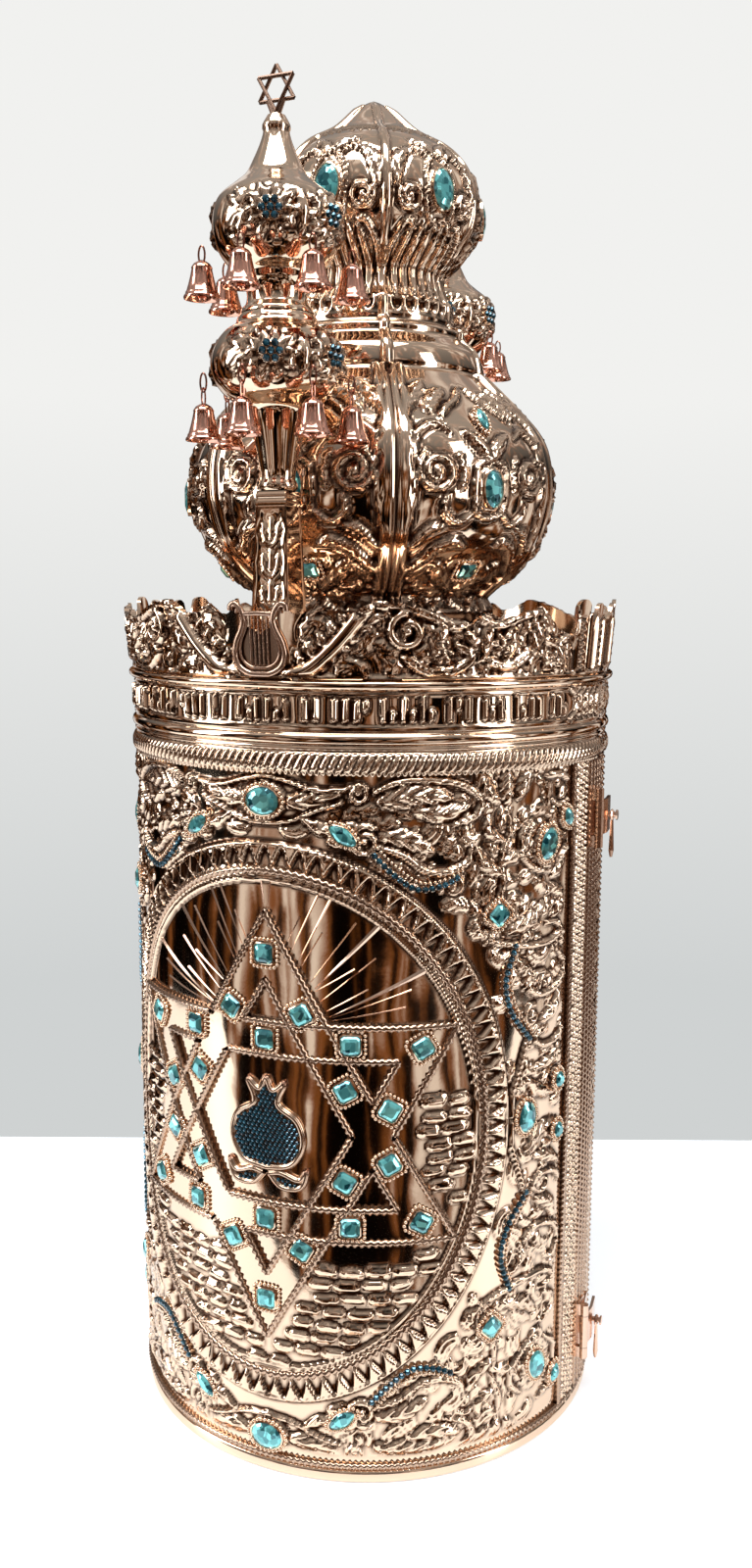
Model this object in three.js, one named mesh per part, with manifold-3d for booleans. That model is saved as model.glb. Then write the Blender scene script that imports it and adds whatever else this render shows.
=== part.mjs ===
// Standing Torah case of embossed rose-gold metal.
// Millimetres, +Z up. The origin is the middle of the base. The front half faces -Y,
// the case hinge is on -X and the clasps are on +X.

import * as THREE from 'three';
import { mergeVertices } from 'three/addons/utils/BufferGeometryUtils.js';
import Module from 'manifold-3d';

const wasm = await Module();
wasm.setup();

// Case wall
const CASE_R = 140;
const CASE_WALL = 5;
const CASE_H = 441;
const FLOOR_T = 6;
const TOP_T = 6;
const FOOT_H = 7;
const FOOT_PROUD = 2;
const CASE_SIDES = 28;
const HALF_GAP = 0.5;
const FIT_GAP = 0.3;
const SINK = 2;
const SNAP = 1e-4;
const MERGE = 2e-3;

// Moulded band round the head of the case
const BAND_DROP = 44;
const BAND_RISE = 4;
const BAND_T = 3.5;
const ROPE_H = 11.5;
const ROPE_T = 4.3;
const MOULDING_H = 11.5;
const CORNICE_T = 6.2;

// Ribbed strips along the seams
const STRIP_W = 11;
const STRIP_PROUD = 2;
const STRIP_EDGE = 1.5;

// Medallion: raised oval ring and the two interlaced triangles inside it
const RING_HALF_W = 136.6;
const RING_HALF_H = 158;
const RING_W = 21;
const RING_RISE = 3;
const STAR_R = 122;
const STAR_BAND = 20;
const STAR_RISE = 2;
const EMBLEM_W = 48;
const EMBLEM_H = 61;
const EMBLEM_RISE = 2.4;

// Stone settings raised on the front
const SQUARE_SET = 17.5;
const SQUARE_RISE = 3.6;
const SET_STEP = 47;
const TIP_INSET = 24;
const OVAL_RISE = 4;
const BORDER_SETS = [
  { azimuth: 0, fromMiddle: 180, w: 24, h: 20 },
  { azimuth: 17.5, fromMiddle: 163.5, w: 12, h: 20 },
  { azimuth: 66, fromMiddle: 153, w: 18, h: 23 },
  { azimuth: 52, fromMiddle: 118, w: 20, h: 20 },
];

// Raised scrolls of the border, each an arc round its own middle
const SCROLL_W = 5;
const SCROLL_RISE = 3.2;
const SCROLLS = [
  { azimuth: 34, fromMiddle: 172, r: 26, start: 200, sweep: 140 },
  { azimuth: 65, fromMiddle: 75, r: 30, start: 120, sweep: 120 },
];

// Coronet (crest) that stands on the band
const CREST_T = 3;
const CREST_INSET = 1;
const CREST_FLARE = 3.6;
const CREST_LINE = [
  [0, 24], [3.4, 27], [5, 43], [7, 34], [9.5, 33], [12, 39.5], [15, 34], [18, 33], [21, 36],
  [24, 41], [29, 39.5], [36, 34.5], [44, 29], [47, 35.5], [51, 30.5], [57, 35], [61, 37.5],
  [67, 26], [71, 22],
];
const POSTS = [
  { azimuth: 76, half: 3.2, h: 41.5 },
  { azimuth: 84.4, half: 2.2, h: 39.5 },
];
const POST_RISE = 1.6;
const POST_SHOULDER = 3;
const POST_FREE = 12;
const POST_MARGIN = 2;
const RAISED_ROOT = 1;
const LYRE_H = 40;
const LYRE_W = 20;
const TRUNK_W = 4.5;
const TRUNK_FOOT = 8;
const TRUNK_HEAD = 22;
const TRUNK_H = 36;

// Onion crown. Radii and heights above the top of the case wall.
const CROWN_SECTORS = 6;
const CROWN_RIB = 3;
const CROWN_TOP = 330;
const CROWN_PROFILE = [
  [70, 0], [70, 34], [73, 38], [69, 47], [89, 64], [101, 79], [107.5, 107], [103.5, 132], [88, 151],
  [69, 171], [57, 177], [56, 190], [46, 198], [40, 228], [50.6, 238], [61, 250], [62, 268], [53, 292],
  [43.5, 300], [26.4, 309.5], [14.5, 323],
];
const CROWN_TIP = [[7, 3], [2, 0]];
const CROWN_PANEL = [0, 11, 30, 49];
const CROWN_HOLLOW = [
  [64, 0], [64, 50], [94, 80], [100, 107], [96, 132], [64, 165], [42, 195], [34, 228], [54, 252],
  [54, 268], [34, 294], [12, 304],
];
const CROWN_STONE_H = 104;
const CROWN_STONE_W = 13;
const CROWN_STONE_L = 20;
const CROWN_STONE_T = 2.6;
const CROWN_STONE_TABLE = 0.6;
const CROWN_SET_MARGIN = 1.5;
const CROWN_SET_R = 109;
const CROWN_STONE_SIDES = 8;

// Finials, standing on the top plate
const FINIAL_AT = CASE_R - 17;
const SHAFT_FOOT = 12.2;
const SHAFT_HEAD = 8.6;
const SHAFT_H = 100;
const BULB_SIDES = 10;
const LOWER_BULB = [
  [9, 0], [10, 3], [9, 9], [9.4, 12], [16, 39], [26, 46], [32.5, 54], [34.5, 62], [32.5, 71],
  [27, 79], [21, 85], [19, 87],
];
const UPPER_BULB = [
  [19, 0], [16, 6], [16, 12], [22, 22], [30, 31], [33, 43], [30, 55], [20, 64], [10.5, 77],
  [6.5, 88], [7, 92], [4.5, 96],
];
const FINIAL_STAR_R = 11.5;
const FINIAL_STAR_T = 3;
const FINIAL_STAR_BAND = 2.6;
const STEM_R = 3.2;
const STEM_TAPER = 0.6;
const STEM_ROOT = 1;
const STEM_GRIP = 2;

// Bells
const BELL_SIDES = 6;
const BELL_R = 9.5;
const BELL_H = 19;
const BELL_DEPTH = 0.62;
const BELL_PROFILE = [[1, 0], [0.62, 0.35], [0.4, 0.9]];
const BELL_RING = 38;
const BELL_STEP = 54;
const BELL_COUNT = 5;
const LINK_R = 0.9;
const LOWER_BELLS = { eye: 58, chain: 15 };
const UPPER_BELLS = { eye: 32, chain: 7 };

// Case hinge
const HINGE_OUT = 10.5;
const HINGE_H = 48;
const HINGE_Z = [76, CASE_H - 89];
const KNUCKLE_R = 4;
const KNUCKLE_BORE = 2;
const PIN_R = 1.6;
const PIN_HEAD_R = 3;
const PIN_HEAD_T = 3;
const PIN_HEAD_TAPER = 0.8;
const LEAF_T = 2;
const LEAF_W = 17;
const LEAF_CUT = 0.6;
const LEAF_LAP = 0.5;

// Clasps
const CLASP_Z = [48, CASE_H - 78];
const CLASP_H = 34;
const HASP_R = CASE_R + 7.6;
const HASP_AZIMUTH = 85.5;
const HASP_BARREL_R = 2.6;
const HASP_BORE = 1.5;
const HASP_PIN_R = 1.1;
const HASP_T = 1.8;
const HASP_REACH = 95;
const HASP_H = 20;
const KNOB_R = 3;
const KNOB_NECK_R = 1.6;
const KNOB_AZIMUTH = 91.5;
const KNOB_HEAD_T = 1;
const KNOB_EDGE = 0.5;
const LUG_HALF_W = 1.6;
const KEEPER_W = 11;
const KEEPER_T = 2.2;
const PULL_RING_R = 2.9;
const PULL_RING_T = 0.8;
const PULL_L = 22;
const PULL_DROP_R = 1.6;
const PULL_DROP_L = 4;
const PULL_NECK_R = 0.9;

const deg = THREE.MathUtils.degToRad;
const BAND_Z = CASE_H - BAND_DROP;
const CREST_Z = CASE_H + BAND_RISE + FIT_GAP;
const MEDALLION_Z = FOOT_H + (BAND_Z - FOOT_H) / 2;
const TOP_Z = CASE_H + FIT_GAP;
const FAR = 4 * CASE_R + CASE_H + CROWN_TOP;

const finish = (color, roughness, metalness) => (
  new THREE.MeshStandardMaterial({ color, roughness, metalness })
);
const roseGold = finish(0xe2b69c, 0.16, 1);
const darkGold = finish(0xb98670, 0.28, 1);
const bellCopper = finish(0xc9705a, 0.22, 1);
const tealGlass = finish(0x2fb5ae, 0.08, 0);

const model = new THREE.Group();

// A closed geometry as a solid with its faces pointing out.
function solid(geometry) {
  const bare = geometry.clone();
  bare.deleteAttribute('normal');
  bare.deleteAttribute('uv');
  const merged = mergeVertices(bare, 1e-4);
  const points = merged.attributes.position.array;
  const corner = merged.index.array;
  const faces = [];
  let volume = 0;
  for (let i = 0; i < corner.length; i += 3) {
    const [a, b, c] = [corner[i], corner[i + 1], corner[i + 2]];
    if (a !== b && b !== c && c !== a) {
      faces.push(a, b, c);
      const at = (k) => new THREE.Vector3().fromArray(points, 3 * k);
      volume += at(a).dot(at(b).cross(at(c)));
    }
  }
  if (volume < 0) faces.reverse();
  const mesh = new wasm.Mesh({
    numProp: 3,
    vertProperties: Float32Array.from(points),
    triVerts: Uint32Array.from(faces),
  });
  return new wasm.Manifold(mesh);
}

function geometryOf(body) {
  const mesh = body.getMesh();
  const geometry = new THREE.BufferGeometry();
  geometry.setAttribute('position', new THREE.BufferAttribute(Float32Array.from(mesh.vertProperties), 3));
  geometry.setIndex(Array.from(mesh.triVerts));
  geometry.computeVertexNormals();
  return geometry;
}

function put(name, body, material, place = new THREE.Matrix4()) {
  const mesh = new THREE.Mesh(geometryOf(body), material);
  mesh.name = name;
  mesh.applyMatrix4(place);
  model.add(mesh);
}

const joined = (bodies) => bodies.reduce((all, next) => all.add(next));

// A profile of [radius, height] points turned round Z, closed on the axis.
function turned(profile, sides) {
  const closed = [[0, profile[0][1]], ...profile, [0, profile.at(-1)[1]]];
  const points = closed.map(([r, h]) => new THREE.Vector2(r, h));
  return new THREE.LatheGeometry(points, sides).rotateX(Math.PI / 2);
}

function box(x0, x1, y0, y1, z0, z1) {
  const geometry = new THREE.BoxGeometry(x1 - x0, y1 - y0, z1 - z0);
  return solid(geometry.translate((x0 + x1) / 2, (y0 + y1) / 2, (z0 + z1) / 2));
}

function post(radius, x, y, z0, z1, sides) {
  const geometry = new THREE.CylinderGeometry(radius, radius, z1 - z0, sides).rotateX(Math.PI / 2);
  return solid(geometry.translate(x, y, (z0 + z1) / 2));
}

// The front or back half of a body, cut at the seam.
function half(body, side) {
  const y0 = side === 'front' ? -FAR : HALF_GAP;
  const y1 = side === 'front' ? -HALF_GAP : FAR;
  return body.intersect(box(-FAR, FAR, y0, y1, -FAR, FAR));
}

// Work made at the front, turned to face its own side.
const facing = (body, side) => (side === 'front' ? body : body.rotate([0, 0, 180]));

// Splits each triangle where it crosses the line x = c, the same way on both sides of an edge.
function scored(triangles, c) {
  const cut = (a, b) => {
    const [low, high] = a.x < b.x ? [a, b] : [b, a];
    return low.clone().lerp(high, (c - low.x) / (high.x - low.x)).setX(c);
  };
  return triangles.flatMap((corners) => {
    const sides = corners.map((p) => (Math.abs(p.x - c) < SNAP ? 0 : Math.sign(p.x - c)));
    if (!sides.includes(1) || !sides.includes(-1)) return [corners];
    const onLine = sides.indexOf(0);
    const alone = sides.findIndex((side) => sides.filter((other) => other === side).length === 1);
    const first = onLine >= 0 ? onLine : alone;
    const [a, b, d] = [0, 1, 2].map((k) => corners[(first + k) % 3]);
    if (onLine >= 0) return [[a, b, cut(b, d)], [a, cut(b, d), d]];
    return [[a, cut(a, b), cut(a, d)], [cut(a, b), b, d], [cut(a, b), d, cut(a, d)]];
  });
}

// Bends a flat piece (x along the arc, y up, z out) round the case, with its facets parallel
// to those of the wall.
function bent(flat, radius, flare = () => 0) {
  const step = (2 * Math.PI) / CASE_SIDES;
  const width = step * radius;
  const { min, max } = flat.boundingBox();
  const loose = geometryOf(flat).toNonIndexed().attributes.position;
  let triangles = [];
  for (let i = 0; i < loose.count; i += 3) {
    triangles.push([0, 1, 2].map((k) => new THREE.Vector3().fromBufferAttribute(loose, i + k)));
  }
  for (let i = Math.ceil(min[0] / width); i * width < max[0]; i += 1) {
    triangles = scored(triangles, i * width);
  }
  const points = triangles.flat().map((p) => {
    const line = Math.round(p.x / width);
    const across = Math.abs(p.x / width - line) < SNAP ? line : p.x / width;
    const i = Math.floor(across);
    const r = radius + p.z + flare(p.y);
    const x = THREE.MathUtils.lerp(Math.sin(i * step), Math.sin((i + 1) * step), across - i);
    const y = THREE.MathUtils.lerp(Math.cos(i * step), Math.cos((i + 1) * step), across - i);
    return new THREE.Vector3(r * x, -r * y, p.y);
  });
  return solid(new THREE.BufferGeometry().setFromPoints(points)).simplify(MERGE);
}

function slab(shape, depth, base = 0, curveSegments = 5) {
  const geometry = new THREE.ExtrudeGeometry(shape, { depth, bevelEnabled: false, curveSegments });
  return solid(geometry.translate(0, 0, base));
}

// Relief before it is bent: a flat shape raised by rise and rooted in the wall.
const relief = (shape, rise, curveSegments) => slab(shape, rise + SINK, -SINK, curveSegments);

function rectangle(x, y, w, h, turn = 0) {
  const corners = [[-1, -1], [1, -1], [1, 1], [-1, 1]].map(([u, v]) => (
    new THREE.Vector2((u * w) / 2, (v * h) / 2).rotateAround(new THREE.Vector2(), turn)
  ));
  return new THREE.Shape(corners.map((corner) => corner.add(new THREE.Vector2(x, y))));
}

function triangle(apothem) {
  const corners = [[-1, -1], [1, -1], [0, 2]];
  return corners.map(([x, y]) => new THREE.Vector2(x * apothem * Math.sqrt(3), y * apothem));
}

// The star: two triangles of equal bands, one turned half round on the other.
function star() {
  const shape = new THREE.Shape(triangle(STAR_R / 2));
  shape.holes.push(new THREE.Path(triangle(STAR_R / 2 - STAR_BAND)));
  const upright = relief(shape, STAR_RISE);
  return upright.add(upright.rotate([0, 0, 180])).translate([0, MEDALLION_Z, 0]);
}

function ring() {
  const shape = new THREE.Shape();
  shape.absellipse(0, MEDALLION_Z, RING_HALF_W, RING_HALF_H, 0, 2 * Math.PI);
  const hole = new THREE.Path();
  hole.absellipse(0, MEDALLION_Z, RING_HALF_W - RING_W, RING_HALF_H - RING_W, 0, 2 * Math.PI);
  shape.holes.push(hole);
  return relief(shape, RING_RISE, 13);
}

// Square settings: one in each tip and three along each side of the star.
function starSettings() {
  const band = STAR_R / 2 - STAR_BAND / 2;
  const places = [[0, STAR_R - TIP_INSET], [0, -band], [SET_STEP, -band], [-SET_STEP, -band]];
  const set = (place, turn) => {
    const middle = new THREE.Vector2(...place).rotateAround(new THREE.Vector2(), turn);
    return relief(rectangle(middle.x, middle.y + MEDALLION_Z, SQUARE_SET, SQUARE_SET, turn), SQUARE_RISE);
  };
  return [0, 1, 2, 3, 4, 5].flatMap((k) => places.map((place) => set(place, deg(60 * k))));
}

function ovalSetting({ azimuth, fromMiddle, w, h }, u, v) {
  const shape = new THREE.Shape();
  shape.absellipse(u * deg(azimuth) * CASE_R, MEDALLION_Z + v * fromMiddle, w / 2, h / 2, 0, 2 * Math.PI);
  return relief(shape, OVAL_RISE, 3);
}

function scroll({ azimuth, fromMiddle, r, start, sweep }, u, v) {
  const arc = new THREE.Shape();
  arc.absarc(0, 0, r, deg(start), deg(start + sweep));
  arc.absarc(0, 0, r - SCROLL_W, deg(start + sweep), deg(start), true);
  const points = arc.extractPoints(3).shape.map((p) => (
    new THREE.Vector2(u * (deg(azimuth) * CASE_R + p.x), MEDALLION_Z + v * (fromMiddle + p.y))
  ));
  return relief(new THREE.Shape(points), SCROLL_RISE);
}

// Settings and scrolls of the border, repeated left and right, above and below.
function borderRelief() {
  return [1, -1].flatMap((v) => [1, -1].flatMap((u) => [
    ...BORDER_SETS.filter(({ azimuth }) => azimuth > 0 || u > 0).map((set) => ovalSetting(set, u, v)),
    ...SCROLLS.map((arc) => scroll(arc, u, v)),
  ]));
}

// Raised strips that run up both seams of a half.
function seamStrips() {
  const middle = (Math.PI / 2) * CASE_R - STRIP_EDGE - STRIP_W / 2;
  const top = BAND_Z - FIT_GAP;
  return [-1, 1].map((u) => {
    const shape = rectangle(u * middle, (top + FOOT_H) / 2, STRIP_W, top - FOOT_H);
    return relief(shape, STRIP_PROUD);
  });
}

function caseHalf(side) {
  const outside = [
    [CASE_R + FOOT_PROUD, 0], [CASE_R + FOOT_PROUD, FOOT_H - 1], [CASE_R, FOOT_H + 1], [CASE_R, CASE_H],
  ];
  const inside = [[CASE_R - CASE_WALL, FLOOR_T], [CASE_R - CASE_WALL, CASE_H - TOP_T]];
  const shell = solid(turned(outside, CASE_SIDES)).subtract(solid(turned(inside, CASE_SIDES)));
  const plain = [ring(), ...seamStrips()];
  const emblem = relief(rectangle(0, MEDALLION_Z, EMBLEM_W, EMBLEM_H), EMBLEM_RISE);
  const dressed = [star(), emblem, ...starSettings(), ...borderRelief()];
  const work = bent(joined(side === 'front' ? [...plain, ...dressed] : plain), CASE_R);
  return half(shell.add(facing(work, side)), side);
}

function bandHalf(side) {
  const inner = CASE_R + FIT_GAP;
  const rope = BAND_Z + ROPE_H;
  const text = rope + MOULDING_H + 1;
  const profile = [
    [inner, BAND_Z], [CASE_R + ROPE_T - 2, BAND_Z], [CASE_R + ROPE_T, BAND_Z + ROPE_H / 3],
    [CASE_R + ROPE_T, BAND_Z + (2 * ROPE_H) / 3], [CASE_R + 2, rope], [CASE_R + BAND_T - 0.5, rope + 2],
    [CASE_R + BAND_T, text], [CASE_R + BAND_T, CASE_H - 0.5], [CASE_R + CORNICE_T, CASE_H + 1],
    [CASE_R + CORNICE_T, CASE_H + BAND_RISE], [inner, CASE_H + BAND_RISE],
  ];
  const points = [...profile, profile[0]].map(([r, h]) => new THREE.Vector2(r, h));
  return half(solid(new THREE.LatheGeometry(points, CASE_SIDES).rotateX(Math.PI / 2)), side);
}

// The crest: one cast outline with two posts at each seam, a lyre and two leaning trunks.
function crestHalf(side) {
  const radius = CASE_R + CREST_INSET;
  const arc = (azimuth) => deg(azimuth) * radius;
  const line = new THREE.SplineCurve(CREST_LINE.map(([a, h]) => new THREE.Vector2(arc(a), h)));
  const right = line.getPoints(CREST_LINE.length + 5);
  POSTS.forEach(({ azimuth, half: w, h }) => {
    const [foot, shoulder] = [h - POST_FREE, h - POST_SHOULDER];
    [[-w, foot], [-w, shoulder], [0, h], [w, shoulder], [w, foot]].forEach(([a, top]) => {
      right.push(new THREE.Vector2(arc(azimuth + a), top));
    });
  });
  right.push(new THREE.Vector2(arc(90), 30), new THREE.Vector2(arc(90), 0));
  const left = right.map((p) => new THREE.Vector2(-p.x, p.y)).reverse();
  left.pop();
  const sheet = new THREE.Shape([...left, ...right]);
  const height = Math.max(...POSTS.map((p) => p.h));
  const flare = (y) => (CREST_FLARE * y) / height;
  const raised = [slab(sheet, CREST_T)];
  const raise = (shape) => raised.push(slab(shape, CREST_T + POST_RISE - RAISED_ROOT, RAISED_ROOT));
  if (side === 'front') {
    [1, -1].forEach((u) => {
      POSTS.forEach(({ azimuth, half: w, h }) => {
        const face = h - POST_MARGIN;
        raise(rectangle(u * arc(azimuth), face / 2, 2 * arc(w) - POST_MARGIN, face));
      });
      raise(new THREE.Shape([
        new THREE.Vector2(u * arc(TRUNK_FOOT), 1), new THREE.Vector2(u * (arc(TRUNK_FOOT) + TRUNK_W), 1),
        new THREE.Vector2(u * (arc(TRUNK_HEAD) + TRUNK_W), TRUNK_H),
        new THREE.Vector2(u * arc(TRUNK_HEAD), TRUNK_H),
      ]));
    });
    const lyre = new THREE.Shape();
    lyre.absellipse(0, LYRE_H * 0.45, LYRE_W / 2, LYRE_H * 0.4, 0, 2 * Math.PI);
    raise(lyre);
  }
  const whole = bent(joined(raised), radius, flare).translate([0, 0, CREST_Z]);
  return half(facing(whole, side), side);
}

// The crown's outer skin: six bowed panels between raised ribs.
function crownSkin() {
  const steps = CROWN_PANEL;
  const profile = [...CROWN_PROFILE, ...CROWN_TIP.map(([r, drop]) => [r, CROWN_TOP - drop])];
  const geometry = turned(profile, CROWN_SECTORS * steps.length);
  const p = geometry.attributes.position;
  const step = 360 / (CROWN_SECTORS * steps.length);
  for (let i = 0; i < p.count; i += 1) {
    const [x, y, z] = [p.getX(i), p.getY(i), p.getZ(i)];
    const r = Math.hypot(x, y);
    const index = Math.round((THREE.MathUtils.radToDeg(Math.atan2(x, -y)) + 360) / step);
    const sector = Math.floor(index / steps.length);
    const place = index % steps.length;
    const azimuth = deg(sector * 60 + steps[place] + 30);
    const rib = place === 0 && r > 12 && z > 0 ? CROWN_RIB : 0;
    p.setXYZ(i, (r + rib) * Math.sin(azimuth), -(r + rib) * Math.cos(azimuth), z);
  }
  return solid(geometry);
}

// An oval form that stands out from the crown, its foot at a given radius.
function crownOval(profile, w, l, foot, k) {
  const body = solid(turned(profile, CROWN_STONE_SIDES)).scale([w / 2, l / 2, 1]);
  return body.rotate([90, 0, 0]).translate([0, -foot, CROWN_STONE_H]).rotate([0, 0, 60 * k]);
}

// The crown with the raised seats of its stones.
function crownHalf(side) {
  const skin = crownSkin().subtract(solid(turned(CROWN_HOLLOW, 2 * CROWN_SECTORS)));
  const depth = CROWN_SET_R - CROWN_HOLLOW[3][0] - SINK;
  const seats = [0, 1, 2, 3, 4, 5].map((k) => {
    const [w, l] = [CROWN_STONE_W + 2 * CROWN_SET_MARGIN, CROWN_STONE_L + 2 * CROWN_SET_MARGIN];
    return crownOval([[1, 0], [1, depth]], w, l, CROWN_SET_R - depth, k);
  });
  return half(joined([skin, ...seats]), side).translate([0, 0, TOP_Z]);
}

function crownStones(side) {
  const profile = [[1, 0], [1, CROWN_STONE_T / 3], [CROWN_STONE_TABLE, CROWN_STONE_T]];
  const turns = side === 'front' ? [5, 0, 1] : [2, 3, 4];
  turns.forEach((k, i) => {
    const stone = crownOval(profile, CROWN_STONE_W, CROWN_STONE_L, CROWN_SET_R + FIT_GAP, k);
    put(`crown_stone_${side}_${i + 1}`, stone.translate([0, 0, TOP_Z]), tealGlass);
  });
}

// An open-mouthed bell under its chain, hanging from z = 0.
function bell(chain) {
  const wall = BELL_PROFILE.map(([r, h]) => [r * BELL_R, h * BELL_H]);
  const top = BELL_H + chain;
  const profile = [[0, BELL_H * BELL_DEPTH], ...wall, [LINK_R, BELL_H], [LINK_R, top], [0, top]];
  const points = profile.map(([r, h]) => new THREE.Vector2(r, h - top));
  return solid(new THREE.LatheGeometry(points, BELL_SIDES).rotateX(Math.PI / 2));
}

function finialStar() {
  const points = [];
  for (let k = 0; k < 12; k += 1) {
    const r = k % 2 === 0 ? FINIAL_STAR_R : FINIAL_STAR_R / Math.sqrt(3);
    points.push(new THREE.Vector2(0, r).rotateAround(new THREE.Vector2(), deg(30 * k)));
  }
  const shape = new THREE.Shape(points);
  const opening = new THREE.Path();
  opening.absarc(0, 0, FINIAL_STAR_R / 2 - FINIAL_STAR_BAND, 0, 2 * Math.PI);
  shape.holes.push(opening);
  const plate = slab(shape, FINIAL_STAR_T, -FINIAL_STAR_T / 2, 3).rotate([90, 0, 0]);
  const [foot, head] = [-FINIAL_STAR_R - STEM_ROOT, STEM_GRIP - FINIAL_STAR_R];
  const stem = solid(turned([[STEM_R, foot], [STEM_R * STEM_TAPER, head]], BELL_SIDES));
  return plate.add(stem).translate([0, 0, -foot]);
}

// One finial at the front; the back one is the same turned half round.
function finial(side) {
  const turn = side === 'front' ? 0 : Math.PI;
  const place = new THREE.Matrix4().makeRotationZ(turn);
  place.multiply(new THREE.Matrix4().makeTranslation(0, -FINIAL_AT, TOP_Z));
  const lowerZ = SHAFT_H + FIT_GAP;
  const upperZ = lowerZ + LOWER_BULB.at(-1)[1] + FIT_GAP;
  const starZ = upperZ + UPPER_BULB.at(-1)[1] + FIT_GAP;
  const at = (z) => place.clone().multiply(new THREE.Matrix4().makeTranslation(0, 0, z));
  const corner = Math.SQRT2;
  const shaft = new THREE.CylinderGeometry(SHAFT_HEAD * corner, SHAFT_FOOT * corner, SHAFT_H, 4);
  shaft.rotateY(Math.PI / 4).rotateX(Math.PI / 2).translate(0, 0, SHAFT_H / 2);
  put(`finial_shaft_${side}`, solid(shaft), roseGold, at(0));
  put(`finial_lower_bulb_${side}`, solid(turned(LOWER_BULB, BULB_SIDES)), roseGold, at(lowerZ));
  put(`finial_upper_bulb_${side}`, solid(turned(UPPER_BULB, BULB_SIDES)), roseGold, at(upperZ));
  put(`finial_star_${side}`, finialStar(), roseGold, at(starZ));
  const rows = [['lower', lowerZ, LOWER_BELLS], ['upper', upperZ, UPPER_BELLS]];
  rows.forEach(([row, base, { eye, chain }]) => {
    const body = bell(chain);
    for (let k = 0; k < BELL_COUNT; k += 1) {
      const azimuth = deg(BELL_STEP * (k - (BELL_COUNT - 1) / 2));
      const x = BELL_RING * Math.sin(azimuth);
      const y = -BELL_RING * Math.cos(azimuth);
      const hang = at(base + eye).multiply(new THREE.Matrix4().makeTranslation(x, y, 0));
      put(`bell_${side}_${row}_${k + 1}`, body, bellCopper, hang);
    }
  });
}

// One leaf of a case hinge with its share of the knuckles.
function hingeLeaf(side, z) {
  const v = side === 'front' ? -1 : 1;
  const base = CASE_R + STRIP_PROUD + FIT_GAP;
  const axis = -(CASE_R + HINGE_OUT);
  const low = z - HINGE_H / 2;
  const third = HINGE_H / 3;
  const seamAzimuth = -Math.PI / 2;
  const w = LEAF_W;
  const middle = seamAzimuth * base - v * (LEAF_CUT + w / 2);
  const plate = bent(slab(rectangle(middle, z, w, HINGE_H), LEAF_T), base);
  const shares = side === 'front' ? [1] : [0, 2];
  const parts = [plate];
  shares.forEach((share) => {
    const a = low + share * third + FIT_GAP / 2;
    const b = low + (share + 1) * third - FIT_GAP / 2;
    const y0 = v * LEAF_CUT;
    const y1 = v * (KNUCKLE_R - FIT_GAP);
    parts.push(box(axis, -base - LEAF_LAP, Math.min(y0, y1), Math.max(y0, y1), a, b));
    parts.push(post(KNUCKLE_R, axis, 0, a, b, 8));
  });
  return joined(parts).subtract(post(KNUCKLE_BORE, axis, 0, low - 1, low + HINGE_H + 1, 8));
}

function hingePin(z) {
  const end = HINGE_H / 2 + FIT_GAP;
  const head = [[PIN_HEAD_R, end], [PIN_HEAD_R * PIN_HEAD_TAPER, end + PIN_HEAD_T]];
  const foot = head.map(([r, h]) => [r, -h]).reverse();
  const body = solid(turned([...foot, [PIN_R, -end], [PIN_R, end], ...head], 6));
  return body.translate([-(CASE_R + HINGE_OUT), 0, z]);
}

const CLASP_BASE = CASE_R + STRIP_PROUD + FIT_GAP;
const onRadius = (radius, azimuth) => [radius * Math.sin(deg(azimuth)), -radius * Math.cos(deg(azimuth))];

// Plate on the front half with the two outer knuckles of the clasp and its pin.
function claspPlate(z) {
  const [x, y] = onRadius(HASP_R, HASP_AZIMUTH);
  const seam = (Math.PI / 2) * CLASP_BASE;
  const w = deg(90 - HASP_AZIMUTH) * CLASP_BASE + HASP_BARREL_R - LEAF_CUT;
  const plate = bent(slab(rectangle(seam - LEAF_CUT - w / 2, z, w, CLASP_H), LEAF_T), CLASP_BASE);
  const parts = [plate, post(HASP_PIN_R, x, y, z - CLASP_H / 2, z + CLASP_H / 2, 8)];
  [-1, 1].forEach((u) => {
    const inner = z + u * (HASP_H / 2 + FIT_GAP);
    const outer = z + (u * CLASP_H) / 2;
    const [z0, z1] = [Math.min(inner, outer), Math.max(inner, outer)];
    parts.push(post(HASP_BARREL_R, x, y, z0, z1, 8));
    parts.push(box(CLASP_BASE + FIT_GAP, x, y - LUG_HALF_W, y + LUG_HALF_W, z0, z1));
  });
  return joined(parts);
}

// Swinging leaf of the clasp, with a bored barrel and a turned knob.
function hasp(z) {
  const [x, y] = onRadius(HASP_R, HASP_AZIMUTH);
  const from = deg(HASP_AZIMUTH) * HASP_R;
  const to = deg(HASP_REACH) * HASP_R;
  const leaf = bent(slab(rectangle((from + to) / 2, z, to - from, HASP_H), HASP_T), HASP_R);
  const barrel = post(HASP_BARREL_R, x, y, z - HASP_H / 2, z + HASP_H / 2, 8);
  const bore = post(HASP_BORE, x, y, z - HASP_H, z + HASP_H, 8);
  const face = HASP_R + HASP_T;
  const tip = CASE_R + HINGE_OUT + KNUCKLE_R;
  const neck = tip - KNOB_HEAD_T - KNOB_EDGE;
  const knob = [
    [KNOB_NECK_R, face - HASP_T / 2], [KNOB_NECK_R, neck], [KNOB_R, neck + KNOB_EDGE], [KNOB_R, tip],
  ];
  const head = turned(knob, 8).rotateY(Math.PI / 2).rotateZ(deg(KNOB_AZIMUTH - 90)).translate(0, 0, z);
  return joined([leaf, barrel]).subtract(bore).add(solid(head));
}

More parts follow.
